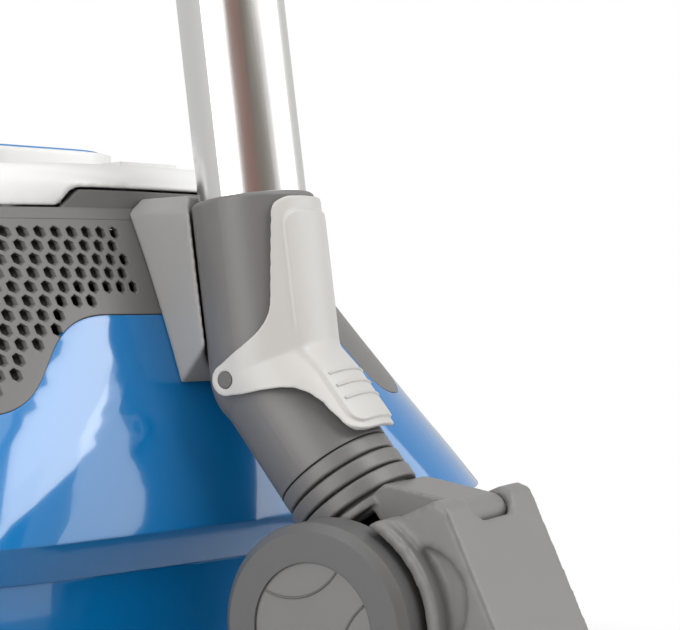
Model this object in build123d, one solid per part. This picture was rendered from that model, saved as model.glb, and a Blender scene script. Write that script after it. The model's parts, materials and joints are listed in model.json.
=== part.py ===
from build123d import *
import os
from math import cos, radians, sin

# A household canister vacuum cleaner with its wand and floor head parked upright at the rear.
# Millimetres, +Z up, front towards -Y, rear towards +Y. Everything is laid out around the bend of
# the wand's elbow, which stands over the origin, and the whole is shifted at the end so that the
# origin is the middle of its footprint on the floor.

# Driving dimensions: clearances
RUN_GAP = 0.06          # radial running fit of a shaft in its bore
SLIDE_GAP = 0.15        # sliding fit of guided pieces
MOVE_GAP = 0.6          # room between pieces that move past each other
SEAM = 0.25             # visible seam between two mouldings of one body

# Driving dimensions: parked wand
BEND_HEIGHT = 233.0     # elbow bend above the floor
PARK_TURN = 16.0        # turn of the parked wand about the vertical
TUBE_LEAN = 7.7         # lean of the tube towards the front
LOWER_ANGLE = 39.0      # lower elbow section from the vertical
TUBE_R = 17.5
TUBE_WALL = 1.0
TUBE_LENGTH = 400.0
INNER_WALL = 0.9
INNER_SHOWING = 90.0    # inner tube standing out of the collar when pushed in
TELESCOPE_TRAVEL = 250.0
INNER_OVERLAP = 60.0    # inner tube left in the outer one when drawn out
SLEEVE_R = 19.9
SLEEVE_RIM = 56.8       # sleeve rim above the bend, along the tube
SLEEVE_SEAT = 20.0      # lower end of the steel tube above the bend
LOWER_R = 19.2
LOWER_LENGTH = 36.9     # lower section from the bend to the first ring

# Driving dimensions: release lever
PIN_Y = -3.4
PIN_Z = -1.0
PIN_R = 2.6
LEVER_GAP = 0.6         # air between lever and sleeve
LEVER_WALL = 1.3
PANEL_RAISE = 0.9       # raised centre panel of the lever
LEVER_TOP = 54.5        # along the tube, from the bend
TAB_STANDOFF = 2.6      # air under the lever's tab
TAB_HALF_WIDTH = 15.0
TAB_LENGTH = 37.0       # tab end from the bend along the lower axis

# Driving dimensions: swivel rings, neck and floor head
RING_COUNT = 3
RING_LENGTH = 5.0
RING_GROOVE = 0.8
NECK_HALF_WIDTH = 13.0
NECK_WINDOW = 10.0
PIVOT_FORWARD = -15.0   # head pivot from the wheel axis, along the head
PIVOT_RISE = 40.0       # head pivot above the wheel axis
PIVOT_R = 3.5
BARREL_R = 6.0
HEAD_TILT = 25.0        # floor head from the vertical
HEAD_Y = 41.0           # wheel axis behind the bend
HEAD_DROP = 71.0        # wheel axis below the bend
HEAD_WHEEL_R = 31.0
HEAD_WHEEL_WIDTH = 17.0
HEAD_WHEEL_INNER = 25.0
HEAD_HUB_R = 19.7
HEAD_AXLE_R = 3.0
FENDER_GAP = 1.6
FENDER_WALL = 4.0
HOOD_HALF_WIDTH = 29.0
HOOD_TOP = 48.5
HOOD_FRONT = -20.8      # front edge of the hood's ears
HOOD_PLATE = 2.5        # roof over the neck's end
FENDER_REACH = 33.5     # outer edge of the fender strips
NOTCH_END = -11.7       # end of the notch in the roof
NOTCH_ROUND = 7.0
SCOOP_R = 15.4          # round scoop in each side
SCOOP_DEPTH = 3.0
HEAD_WIDTH = 268.0
HEAD_FRONT = 108.0
NOZZLE_TOP = 6.0
SOLE_THICK = 5.0
SLOT_WIDTH = 12.0

# Driving dimensions: canister
WALL = 2.6
RIM_HEIGHT = 185.0
RIM_HALF_WIDTH = 160.0
RIM_REAR = -9.0
RIM_LENGTH = 440.0
RIM_CORNER = 84.0
TUCK_HEIGHT = 171.0     # where the rim has turned under to the lower shell
TUCK_DEPTH = 15.0
BASE_HEIGHT = 64.0      # seam between base pan and lower shell
BODY_HOLLOW = 0.35      # how far the slope above the rim bows in
REAR_BOW = 1.35         # how the rear wall bows out between rim and band
BELLY_SWELL = 24.0      # swell of the lower shell's belly
BELLY_TURN = 0.62       # share of its height where the swell ends
BELLY_REAR = 7.0        # how far the rear wall leans in at the base
BAND_BOTTOM = 283.5
BAND_TOP = 287.5
TOP_HALF_WIDTH = 86.0
TOP_REAR = -52.5
TOP_LENGTH = 322.5
TOP_CORNER = 76.0
COVER_TOP = 303.0
COVER_REACH = 245.0     # cover from the rear to its hinge
HANDLE_THICK = 11.0
HANDLE_BAR = 19.0
HANDLE_WIDTH = 92.0
HANDLE_LENGTH = 140.0
HANDLE_SETBACK = 82.0   # handle's rear end from the cover's rear edge

# Driving dimensions: exhaust grille and dock
GRILLE_INNER = 18.0
GRILLE_STEP = 40.0      # where the grille's lower edge starts to drop
GRILLE_OUTER = 98.0
GRILLE_HIGH = 252.0
GRILLE_LOW = 222.0
HOLE_R = 2.2            # six-sided holes, centre to corner
HOLE_NARROW = 0.8       # narrowed seen from behind, as the wall turns away
HOLE_PITCH = 4.7
ROW_RISE = 4.5
DOCK_HALF_WIDTH = 19.5
DOCK_TOP = 291.0
DOCK_BOTTOM = 226.0
DOCK_GAP = 0.8

# Driving dimensions: running gear
WHEEL_R = 45.0
WHEEL_WIDTH = 26.0
WHEEL_INSET = 54.0      # inner face of the rear wheels from the rim's side
TYRE_DEPTH = 8.0
AXLE_R = 4.0
AXLE_Y = -95.0
PAN_INSET = 59.0        # side of the base pan from the rim's side
PAN_BOTTOM = 29.0
CASTER_R = 12.0
CASTER_WIDTH = 16.0
CASTER_TRAIL = 9.0
CASTER_Y = -384.0
STEM_R = 5.0

# Driving dimensions: inner works
BIN_HALF_WIDTH = 60.0
BIN_LENGTH = 130.0
MOTOR_R = 50.0
MOTOR_LENGTH = 96.0
MOTOR_Z = 132.0
FAN_R = 43.0
SHAFT_R = 4.0
REEL_R = 48.0
REEL_WIDTH = 36.0
SOCKET_BORE_R = 20.2
SOCKET_R = 26.0
SOCKET_LENGTH = 62.0
SOCKET_Z = 232.0
BUTTON_R = 13.0
DIAL_R = 12.0

WHEEL_X = RIM_HALF_WIDTH - WHEEL_INSET
PAN_HALF_WIDTH = RIM_HALF_WIDTH - PAN_INSET

nodes = {}


def rod(radius, length, start=0.0):
    """A cylinder along +Z from a start height."""
    return Pos(0, 0, start) * Cylinder(radius, length, align=(Align.CENTER, Align.CENTER, Align.MIN))


def pipe(outer, inner, length, start=0.0):
    """A straight tube along +Z."""
    return rod(outer, length, start) - rod(inner, length, start)


def along_x(shape, start, y, z):
    """Turn a +Z shape so that it runs along +X from a start."""
    return Pos(start, y, z) * Rot(Y=90) * shape


def along_y(shape, x, start, z):
    """Turn a +Z shape so that it runs along +Y from a start."""
    return Pos(x, start, z) * Rot(X=-90) * shape


def block(x, y, z):
    """A box from three (low, high) pairs."""
    size = [high - low for low, high in (x, y, z)]
    return Pos(*[(low + high) / 2 for low, high in (x, y, z)]) * Box(*size)


def side_plate(points, low_x, high_x):
    """A plate with a straight-sided (y, z) outline, between two X faces."""
    face = Plane.YZ * make_face(Polyline(*points, close=True))
    return Pos(low_x, 0, 0) * extrude(face, high_x - low_x)


def plan(height, half_width, rear, length, corner, inset=0.0):
    """A rounded rectangle at a height, its rear edge at y = rear, drawn in by an inset."""
    outline = RectangleRounded(2 * (half_width - inset), length - 2 * inset, corner - inset)
    return Pos(0, rear - length / 2, height) * outline


def mirrored(shape):
    """The same shape on the other side of the middle plane."""
    return mirror(shape, about=Plane.YZ)


# The body's outline narrows from the rim to the band under the cover along a slope
def body_plan(height, inset=0.0):
    share = (height - RIM_HEIGHT) / (BAND_TOP - RIM_HEIGHT)
    swell = 1.0 - share - BODY_HOLLOW * share * (1.0 - share)
    half_width = TOP_HALF_WIDTH + (RIM_HALF_WIDTH - TOP_HALF_WIDTH) * swell
    rear = RIM_REAR + (TOP_REAR - RIM_REAR) * share ** REAR_BOW
    front = RIM_REAR - RIM_LENGTH + (TOP_REAR - TOP_LENGTH - RIM_REAR + RIM_LENGTH) * (1.0 - swell)
    corner = TOP_CORNER + (RIM_CORNER - TOP_CORNER) * (1.0 - share)
    return plan(height, half_width, rear, rear - front, corner, inset)


def body_loft(low, high, inset=0.0, steps=4):
    return loft([body_plan(low + (high - low) * k / steps, inset) for k in range(steps + 1)])


def tuck_plan(height, inset=0.0):
    """The outline of the part under the rim, drawn in towards the lower shell."""
    share = (RIM_HEIGHT - height) / (RIM_HEIGHT - TUCK_HEIGHT)
    draw = TUCK_DEPTH * share
    return plan(height, RIM_HALF_WIDTH - draw, RIM_REAR - draw, RIM_LENGTH - 2 * draw, RIM_CORNER, inset)


def lower_plan(height, inset=0.0):
    """The lower shell bellies out a little below the tuck and narrows to the base pan."""
    share = (TUCK_HEIGHT - height) / (TUCK_HEIGHT - BASE_HEIGHT)
    draw = TUCK_DEPTH - BELLY_SWELL * share * (BELLY_TURN - share)
    lean = TUCK_DEPTH + BELLY_REAR * share
    return plan(height, RIM_HALF_WIDTH - draw, RIM_REAR - lean, RIM_LENGTH - lean - draw, RIM_CORNER, inset)


def lower_loft(inset=0.0, steps=4):
    rise = (TUCK_HEIGHT - BASE_HEIGHT) / steps
    return loft([lower_plan(BASE_HEIGHT + rise * k, inset) for k in range(steps + 1)])


# Places of the wand's parts: turned about the vertical, then along the upper and lower axes
wand_place = Location((0, 0, BEND_HEIGHT), (0, 0, PARK_TURN))
upper_place = wand_place * Rot(X=TUBE_LEAN)
lower_place = wand_place * Rot(X=180 + LOWER_ANGLE)
head_place = wand_place * Pos(0, HEAD_Y, -HEAD_DROP) * Rot(X=HEAD_TILT - 90)


# Canister shells
def rim_solid(inset=0.0):
    """Everything inside the blue upper shell's outside, from the tuck to the band."""
    tuck = loft([tuck_plan(TUCK_HEIGHT, inset), tuck_plan(RIM_HEIGHT, inset)], ruled=True)
    return body_loft(RIM_HEIGHT, BAND_BOTTOM, inset) + tuck


body_outside = rim_solid()


GRILLE_RUNOUT = 10.0    # rounded outer foot of the grille
GRILLE_LEAN = 26.0      # how far its outer edge leans in at the top
GRILLE_DEPTH = 125.0    # reach of the cut forward from the bend


def grille_prism(inset=0.0):
    """One side's grille outline seen from behind, carried through the rear wall."""
    low, high, top = GRILLE_LOW + inset, GRILLE_HIGH + inset, BAND_BOTTOM
    inner, outer = GRILLE_INNER + inset, GRILLE_OUTER - inset
    foot = (outer - GRILLE_RUNOUT, low)
    heel = (outer, low + GRILLE_RUNOUT)
    edges = [
        Line((inner, top), (inner, high)),
        Line((inner, high), (GRILLE_STEP, high)),
        Spline((GRILLE_STEP, high), foot, tangents=((1, 0), (1, 0))),
        RadiusArc(foot, heel, -GRILLE_RUNOUT),
        Line(heel, (outer - GRILLE_LEAN, top)),
        Line((outer - GRILLE_LEAN, top), (inner, top)),
    ]
    outline = Plane.XZ * make_face(edges)
    return Pos(0, SLEEVE_R, 0) * extrude(outline, GRILLE_DEPTH)


HOLE_MARGIN = 4.5


def hole_places():
    """Centres of a staggered hole pattern inside the grille outline, as (x, z)."""
    places = []
    rows = int((BAND_BOTTOM - GRILLE_LOW) / ROW_RISE)
    for row in range(rows):
        z = BAND_BOTTOM - HOLE_MARGIN - row * ROW_RISE
        shift = HOLE_PITCH / 2 * (row % 2)
        for column in range(int(GRILLE_OUTER / HOLE_PITCH)):
            x = GRILLE_INNER + 2 * HOLE_MARGIN + shift + column * HOLE_PITCH
            share = min(max((x - GRILLE_STEP) / (GRILLE_OUTER - GRILLE_RUNOUT - GRILLE_STEP), 0.0), 1.0)
            floor = GRILLE_HIGH - (GRILLE_HIGH - GRILLE_LOW) * share * share * (3 - 2 * share)
            edge = GRILLE_OUTER - GRILLE_LEAN * (z - GRILLE_LOW) / (BAND_BOTTOM - GRILLE_LOW)
            if z > floor + HOLE_MARGIN and x < edge - 2 * HOLE_MARGIN:
                places.append((x, z))
    return places


upper_wall = body_outside - rim_solid(WALL)
right_cut = grille_prism()
socket_cut = along_y(rod(SOCKET_R, 2 * SOCKET_LENGTH), 0, RIM_REAR - RIM_LENGTH - SOCKET_LENGTH / 2, SOCKET_Z)
nodes["upper_shell"] = upper_wall - right_cut - mirrored(right_cut) - socket_cut

GLAND_Y = -330.0
GLAND_Z = 138.0
GLAND_R = 9.0
ARCH_GAP = 5.0
arch = along_x(rod(WHEEL_R + ARCH_GAP, RIM_HALF_WIDTH), PAN_HALF_WIDTH - WALL, AXLE_Y, WHEEL_R)
gland_cut = along_x(rod(GLAND_R, RIM_HALF_WIDTH), PAN_HALF_WIDTH, GLAND_Y, GLAND_Z)
lower_wall = lower_loft() - lower_loft(WALL)
nodes["lower_shell"] = lower_wall - arch - mirrored(arch) - gland_cut

# Exhaust grille: a panel on each side of the dock, perforated on the right and plain on the left
panel = upper_wall & grille_prism(SEAM)
drill = extrude(scale(RegularPolygon(HOLE_R, 6, rotation=30), by=(HOLE_NARROW, 1, 1)), GRILLE_DEPTH)
drills = [along_y(drill, x, SLEEVE_R - GRILLE_DEPTH, z) for x, z in hole_places()]
nodes["exhaust_grille"] = Compound([panel - drills, mirrored(panel)])

# Exhaust filter: a flat pleated cassette on each side behind the grille
FILTER_THICK = 10.0
FILTER_STANDOFF = 0.3
filter_zone = grille_prism(GRILLE_RUNOUT)
filter_solid = rim_solid(WALL + FILTER_STANDOFF) - rim_solid(WALL + FILTER_STANDOFF + FILTER_THICK)
right_filter = filter_solid & filter_zone
nodes["exhaust_filter"] = Compound([right_filter, mirrored(right_filter)])

# Band round the top opening, the seat of the cover
BAND_SEAT = 9.0
nodes["top_band"] = body_loft(BAND_BOTTOM, BAND_TOP) - body_loft(BAND_BOTTOM, BAND_TOP, BAND_SEAT)

# Base pan: a tray with a flange under the lower shell, wheel pockets and the caster's boss
PAN_WALL = 3.0
PAN_SETBACK = 12.0
PAN_CORNER = 40.0
BOSS_R = 10.0
BOSS_HEIGHT = 24.0
pan_rear = RIM_REAR - TUCK_DEPTH - PAN_SETBACK
pan_length = RIM_LENGTH - 2 * TUCK_DEPTH - 2 * PAN_SETBACK
pan_depth = BASE_HEIGHT - PAN_BOTTOM
pan = extrude(plan(PAN_BOTTOM, PAN_HALF_WIDTH, pan_rear, pan_length, PAN_CORNER), pan_depth)
flange = Pos(0, 0, -PAN_WALL) * extrude(lower_plan(BASE_HEIGHT), PAN_WALL)
tray = plan(PAN_BOTTOM + PAN_WALL, PAN_HALF_WIDTH, pan_rear, pan_length, PAN_CORNER, PAN_WALL)
boss = Pos(0, CASTER_Y, PAN_BOTTOM) * rod(BOSS_R, BOSS_HEIGHT)
stem_bore = Pos(0, CASTER_Y, PAN_BOTTOM) * rod(STEM_R + RUN_GAP, BOSS_HEIGHT)
axle_bore = along_x(rod(AXLE_R, 2 * RIM_HALF_WIDTH), -RIM_HALF_WIDTH, AXLE_Y, WHEEL_R)
pan = pan + flange - extrude(tray, pan_depth) + boss - stem_bore - axle_bore
nodes["base_pan"] = pan - arch - mirrored(arch)

# Rubber bumper strip round the belly of the lower shell
BUMPER_LOW = 96.0
BUMPER_HIGH = 108.0
BUMPER_STAND = 3.0


def bumper_ring(inset):
    return loft([lower_plan(BUMPER_LOW, inset), lower_plan(BUMPER_HIGH, inset)])


nodes["bumper_strip"] = bumper_ring(-BUMPER_STAND) - lower_loft() - arch - mirrored(arch) - gland_cut

# Parking dock: stands out of the rear wall and cradles the parked sleeve
DOCK_MOUTH = 13.0       # mouth of the cradle before the tube axis
DOCK_BEVEL = 7.0
DOCK_ROOT = 60.0
DOCK_SINK = 0.4
DOCK_SHOULDER = 5.5     # bevel along the upper side edges
dock_outline = [(0, DOCK_TOP), (-DOCK_ROOT, DOCK_TOP), (-DOCK_ROOT, DOCK_BOTTOM),
                (-SLEEVE_R - DOCK_BEVEL, DOCK_BOTTOM), (0, DOCK_BOTTOM + SLEEVE_R + DOCK_BEVEL)]
dock = side_plate(dock_outline, -DOCK_HALF_WIDTH, DOCK_HALF_WIDTH)
cradle = upper_place * rod(SLEEVE_R + DOCK_GAP, 4 * DOCK_ROOT, -DOCK_ROOT)
mouth_block = block((-DOCK_ROOT, DOCK_ROOT), (-DOCK_MOUTH, DOCK_ROOT), (-2 * DOCK_ROOT, 2 * DOCK_ROOT))
cover_room = extrude(body_plan(BAND_TOP, -DOCK_SINK), COVER_TOP - BAND_TOP)
shoulder_outline = [(DOCK_HALF_WIDTH, DOCK_TOP - DOCK_SHOULDER), (DOCK_HALF_WIDTH, DOCK_TOP),
                    (DOCK_HALF_WIDTH - DOCK_SHOULDER, DOCK_TOP)]
shoulder = extrude(Plane.XZ * make_face(Polyline(*shoulder_outline, close=True)), DOCK_ROOT)
dock = dock - shoulder - mirrored(shoulder)
dock = dock - cradle - upper_place * mouth_block - body_outside
nodes["parking_dock"] = dock - body_loft(BAND_BOTTOM, BAND_TOP) - cover_room

# Top cover: a shallow white lid over the rear of the top opening, with a raised step over the dock
COVER_WALL = 3.0
COVER_EDGE = 2.0
COVER_CROWN = 9.0
COVER_STEP = 42.0       # half width of the step over the dock
COVER_STEP_RISE = 6.0
COVER_SIDE = 0.6        # share of the height taken by the steep side of the lid
HINGE_GAP = 6.0         # from the hinge axis to the cover's and the panel's edges
HINGE_R = 2.5
LUG_R = 4.6
LUG_WIDTH = 12.0
LUG_X = 44.0
cover_bottom = BAND_TOP + MOVE_GAP
hinge_y = TOP_REAR - COVER_REACH
hinge_z = COVER_TOP - LUG_R - COVER_EDGE
panel_front = TOP_REAR - TOP_LENGTH


def lid_plan(height, draw):
    return plan(height, TOP_HALF_WIDTH, TOP_REAR, TOP_LENGTH, TOP_CORNER, draw)


def lid_form(inset):
    """The crowned form shared by the cover and the control panel."""
    middle = cover_bottom + COVER_SIDE * (COVER_TOP - cover_bottom)
    heights = [(cover_bottom, 0.0), (middle, COVER_EDGE), (COVER_TOP - inset, COVER_CROWN)]
    return loft([lid_plan(height, draw + inset) for height, draw in heights])


def lugs(starts, radius, bore):
    """Hinge knuckles on the hinge axis, at both sides."""
    knuckle = pipe(radius, bore, LUG_WIDTH)
    row = [along_x(knuckle, start, hinge_y, hinge_z) for start in starts]
    return row + [mirrored(lug) for lug in row]


def lug_webs(starts, low_y, high_y):
    tall = (hinge_z - HINGE_R / 2, COVER_TOP - COVER_EDGE)
    webs = [block((start, start + LUG_WIDTH), (low_y, high_y), tall) for start in starts]
    return webs + [mirrored(web) for web in webs]


lid_shell = lid_form(0.0) - lid_form(COVER_WALL)
wide = 2 * RIM_LENGTH
rear_half = block((-wide, wide), (hinge_y + HINGE_GAP, wide), (0, wide))
front_half = block((-wide, wide), (-wide, hinge_y - HINGE_GAP), (0, wide))
step_top = cover_bottom + COVER_STEP_RISE
step_outline = [(-COVER_STEP, BAND_BOTTOM), (COVER_STEP, BAND_BOTTOM), (COVER_STEP, cover_bottom),
                (COVER_STEP - COVER_STEP_RISE, step_top), (COVER_STEP_RISE - COVER_STEP, step_top),
                (-COVER_STEP, cover_bottom)]
step_cut = extrude(Plane.XZ * make_face(Polyline(*step_outline, close=True)), COVER_CROWN - TOP_REAR)
pin_hole = along_x(rod(HINGE_R, wide), -wide / 2, hinge_y, hinge_z)

# The band rises behind the dock to fill the step
rise_half = COVER_STEP - 2 * MOVE_GAP
rise_top = step_top - MOVE_GAP
rise_outline = [(-rise_half, BAND_TOP), (rise_half, BAND_TOP), (rise_half - COVER_STEP_RISE, rise_top),
                (COVER_STEP_RISE - rise_half, rise_top)]
rise_zone = extrude(Plane.XZ * make_face(Polyline(*rise_outline, close=True)), COVER_CROWN - TOP_REAR)
rise = extrude(lid_plan(BAND_TOP, SEAM), COVER_STEP_RISE) & rise_zone
nodes["top_band"] = nodes["top_band"] + rise

# Latch button and handle posts on the cover
LATCH_HALF = 12.0
LATCH_DEPTH = 12.0
LATCH_SETBACK = 14.0
LATCH_PROUD = 1.6
LATCH_FLANGE = 2.0
LATCH_ROOT = 1.0
POST_WIDTH = 9.0
latch_y = (TOP_REAR - LATCH_SETBACK - LATCH_DEPTH, TOP_REAR - LATCH_SETBACK)


def latch_block(grow, low, high):
    return block((-LATCH_HALF - grow, LATCH_HALF + grow), (latch_y[0] - grow, latch_y[1] + grow), (low, high))


handle_rear = TOP_REAR - HANDLE_SETBACK
handle_z = COVER_TOP + MOVE_GAP + HANDLE_THICK / 2
pivot_y = handle_rear - HANDLE_LENGTH + HANDLE_THICK / 2
post_x = HANDLE_WIDTH / 2 + MOVE_GAP
HANDLE_PIN_R = 2.6
post_outline = block((post_x, post_x + POST_WIDTH), (pivot_y - POST_WIDTH, pivot_y + POST_WIDTH),
                     (COVER_TOP - COVER_WALL, handle_z + HANDLE_THICK / 2))
post = post_outline - along_x(rod(HANDLE_PIN_R, POST_WIDTH), post_x, pivot_y, handle_z)
cover = (lid_shell & rear_half) - step_cut + post + mirrored(post)
cover = cover + lug_webs([LUG_X], hinge_y, hinge_y + HINGE_GAP + COVER_WALL) + lugs([LUG_X], LUG_R, HINGE_R)
cover = cover - along_x(rod(HINGE_R + RUN_GAP, wide), -wide / 2, hinge_y, hinge_z)
nodes["top_cover"] = cover - latch_block(SLIDE_GAP, COVER_TOP - 2 * COVER_WALL, wide)
latch_foot = latch_block(LATCH_FLANGE, COVER_TOP - 2 * COVER_WALL, COVER_TOP - COVER_WALL - SEAM)
latch_cap = latch_block(0.0, COVER_TOP - COVER_WALL - LATCH_ROOT, COVER_TOP + LATCH_PROUD)
nodes["cover_latch"] = latch_cap + latch_foot

# Control panel in front of the hinge, with two push buttons and a suction dial
panel_starts = [LUG_X - LUG_WIDTH - MOVE_GAP, LUG_X + LUG_WIDTH + MOVE_GAP]
button_y = (hinge_y - HINGE_GAP + panel_front) / 2
BUTTON_X = 38.0
BUTTON_PROUD = 2.6
BUTTON_FLANGE = 2.0
DIAL_HEIGHT = 5.5
DIAL_STEM_R = 4.0
DIAL_GRIP = 1.5         # half thickness of the dial's grip bar
GRIP_END = 1.0
button_hole = rod(BUTTON_R + SLIDE_GAP, BAND_TOP, BAND_TOP)
panel_holes = [Pos(side * BUTTON_X, button_y, 0) * button_hole for side in (-1, 1)]
panel_holes.append(Pos(0, button_y, BAND_TOP) * rod(DIAL_STEM_R + RUN_GAP, BAND_TOP))
# The panel's foot stands on the band
foot = extrude(lid_plan(BAND_TOP, 0.0) - lid_plan(BAND_TOP, COVER_WALL), MOVE_GAP) & front_half
panel = (lid_shell & front_half) + foot - panel_holes
panel = panel + lug_webs(panel_starts, hinge_y - HINGE_GAP - COVER_WALL, hinge_y)
nodes["control_panel"] = panel + lugs(panel_starts, LUG_R, HINGE_R) - pin_hole
pins = [along_x(rod(HINGE_R, 3 * LUG_WIDTH + 2 * MOVE_GAP), panel_starts[0], hinge_y, hinge_z)]
nodes["cover_hinge_pins"] = Compound(pins + [mirrored(pin) for pin in pins])
panel_under = COVER_TOP - COVER_WALL


def push_button(x):
    flange_top = panel_under - SEAM
    flange = rod(BUTTON_R + BUTTON_FLANGE, BUTTON_FLANGE, flange_top - BUTTON_FLANGE)
    return Pos(x, button_y, 0) * (rod(BUTTON_R, COVER_TOP + BUTTON_PROUD - flange_top, flange_top) + flange)


nodes["power_button"] = push_button(-BUTTON_X)
nodes["rewind_button"] = push_button(BUTTON_X)
dial = rod(DIAL_R, DIAL_HEIGHT, COVER_TOP + MOVE_GAP / 2)
dial = dial + rod(DIAL_STEM_R, 2 * COVER_WALL, COVER_TOP - COVER_WALL)
dial_face = COVER_TOP + DIAL_HEIGHT
grip_y = (GRIP_END - DIAL_R, DIAL_R - GRIP_END)
dial = dial + block((-DIAL_GRIP, DIAL_GRIP), grip_y, (dial_face, dial_face + 2 * DIAL_GRIP))
nodes["suction_dial"] = Pos(0, button_y, 0) * dial

# Carry handle: a flat loop lying on the cover, its front bar round about the pivot
HANDLE_CORNER = 30.0
INSERT_INSET = 5.0
INSERT_THICK = 1.0


def handle_loop(grow, thick, low):
    middle = Pos(0, handle_rear - HANDLE_LENGTH / 2, low)
    outer = RectangleRounded(HANDLE_WIDTH + 2 * grow, HANDLE_LENGTH + 2 * grow, HANDLE_CORNER + grow)
    inner_width = HANDLE_WIDTH - 2 * HANDLE_BAR - 2 * grow
    inner_length = HANDLE_LENGTH - 2 * HANDLE_BAR - 2 * grow
    inner = RectangleRounded(inner_width, inner_length, HANDLE_CORNER - HANDLE_BAR - grow)
    loop = middle * extrude(outer - inner, thick)
    return loop & block((-wide, wide), (pivot_y - grow * 2, wide), (0, wide))


bar = along_x(rod(HANDLE_THICK / 2, HANDLE_WIDTH), -HANDLE_WIDTH / 2, pivot_y, handle_z)
arms = [block((HANDLE_WIDTH / 2 - HANDLE_BAR, HANDLE_WIDTH / 2), (pivot_y, pivot_y + HANDLE_CORNER),
              (handle_z - HANDLE_THICK / 2, handle_z + HANDLE_THICK / 2))]
arms.append(mirrored(arms[0]))
pivot_hole = along_x(rod(HANDLE_PIN_R + RUN_GAP, HANDLE_WIDTH), -HANDLE_WIDTH / 2, pivot_y, handle_z)
nodes["carry_handle"] = handle_loop(0.0, HANDLE_THICK, handle_z - HANDLE_THICK / 2) + bar + arms - pivot_hole
nodes["handle_insert"] = handle_loop(-INSERT_INSET, INSERT_THICK, handle_z + HANDLE_THICK / 2)
handle_pins = [along_x(rod(HANDLE_PIN_R, HANDLE_BAR), post_x + POST_WIDTH - HANDLE_BAR, pivot_y, handle_z)]
nodes["handle_pins"] = Compound(handle_pins + [mirrored(pin) for pin in handle_pins])

# Inner deck and the dust bin that stands on it, open at the top under the cover
DECK_THICK = 4.0
BIN_WALL = 2.0
BIN_TOP = 276.0
BIN_SETBACK = 28.0      # bin from the rear edge of the top opening
FILTER_CASE = 11.0
CASE_TOP = 208.0
bin_rear = TOP_REAR - BIN_SETBACK
bin_front = bin_rear - BIN_LENGTH
deck_front = bin_front - FILTER_CASE - 2 * DECK_THICK
BIN_BOTTOM = TUCK_HEIGHT + DECK_THICK
deck = extrude(lower_plan(TUCK_HEIGHT, WALL + SEAM), DECK_THICK)
nodes["inner_deck"] = deck & block((-wide, wide), (deck_front, wide), (0, wide))
bin_outside = block((-BIN_HALF_WIDTH, BIN_HALF_WIDTH), (bin_front, bin_rear), (BIN_BOTTOM, BIN_TOP))
bin_inside = block((BIN_WALL - BIN_HALF_WIDTH, BIN_HALF_WIDTH - BIN_WALL),
                   (bin_front + BIN_WALL, bin_rear - BIN_WALL), (BIN_BOTTOM + BIN_WALL, BIN_TOP))
inlet_cut = block((-wide, wide), (bin_front - BIN_WALL, bin_front + BIN_WALL), (CASE_TOP, wide))
nodes["dust_bin"] = bin_outside - bin_inside - inlet_cut
CASE_HALF = 50.0
case = block((-CASE_HALF, CASE_HALF), (bin_front - FILTER_CASE, bin_front - SEAM), (BIN_BOTTOM, CASE_TOP))
nodes["motor_filter"] = case

# Motor: housing, seal, stator and bearing plate stand still; shaft, rotor and fan turn
HOUSING_WALL = 3.0
SEAL_THICK = 6.0
STATOR_LENGTH = 46.0
STATOR_BORE = 25.0
AIR_GAP = 0.9
FAN_BLADES = 9
FAN_THICK = 14.0
BLADE_THICK = 1.6
BLADE_TURN = 20.0
motor_rear = deck_front - SEAL_THICK
motor_front = motor_rear - MOTOR_LENGTH
plate_y = motor_front + 2 * HOUSING_WALL + STATOR_LENGTH + HOUSING_WALL
fan_y = plate_y + 2 * HOUSING_WALL


def on_motor_axis(shape, start):
    return along_y(shape, 0, start, MOTOR_Z)


housing = rod(MOTOR_R, MOTOR_LENGTH) - rod(MOTOR_R - HOUSING_WALL, MOTOR_LENGTH, HOUSING_WALL)
nodes["motor_housing"] = on_motor_axis(housing - rod(SHAFT_R + RUN_GAP, HOUSING_WALL), motor_front)
nodes["motor_seal"] = on_motor_axis(pipe(MOTOR_R, MOTOR_R - 2 * HOUSING_WALL, SEAL_THICK), motor_rear)
stator = pipe(MOTOR_R - HOUSING_WALL - SEAM, STATOR_BORE, STATOR_LENGTH)
nodes["motor_stator"] = on_motor_axis(stator, motor_front + 2 * HOUSING_WALL)
air_holes = PolarLocations(MOTOR_R / 2, 6) * rod(MOTOR_R / 7, HOUSING_WALL)
plate = rod(MOTOR_R - HOUSING_WALL - SEAM, HOUSING_WALL) - rod(SHAFT_R + RUN_GAP, HOUSING_WALL) - air_holes
nodes["bearing_plate"] = on_motor_axis(plate, plate_y)
shaft_length = fan_y + FAN_THICK + HOUSING_WALL - (motor_front - 2 * HOUSING_WALL)
rotor = rod(STATOR_BORE - AIR_GAP, STATOR_LENGTH, 4 * HOUSING_WALL)
nodes["motor_shaft"] = on_motor_axis(rod(SHAFT_R, shaft_length) + rotor, motor_front - 2 * HOUSING_WALL)
blade = Rot(Z=BLADE_TURN) * Box(FAN_R - 3 * SHAFT_R, BLADE_THICK, FAN_THICK)
blade = Pos(FAN_R / 2 + SHAFT_R, 0, FAN_THICK / 2) * blade
fan = rod(FAN_R, BLADE_THICK) + rod(3 * SHAFT_R, FAN_THICK) + PolarLocations(0, FAN_BLADES) * blade
nodes["fan"] = on_motor_axis(fan - rod(SHAFT_R, FAN_THICK), fan_y)
CRADLE_HALF = 40.0
cradle_y = (motor_front + 3 * HOUSING_WALL, motor_rear - 3 * HOUSING_WALL)
cradle_z = (PAN_BOTTOM + PAN_WALL, MOTOR_Z - 2 * HOUSING_WALL)
cradle_block = block((-CRADLE_HALF, CRADLE_HALF), cradle_y, cradle_z)
nodes["motor_cradle"] = cradle_block - on_motor_axis(rod(MOTOR_R, MOTOR_LENGTH), motor_front)

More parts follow.
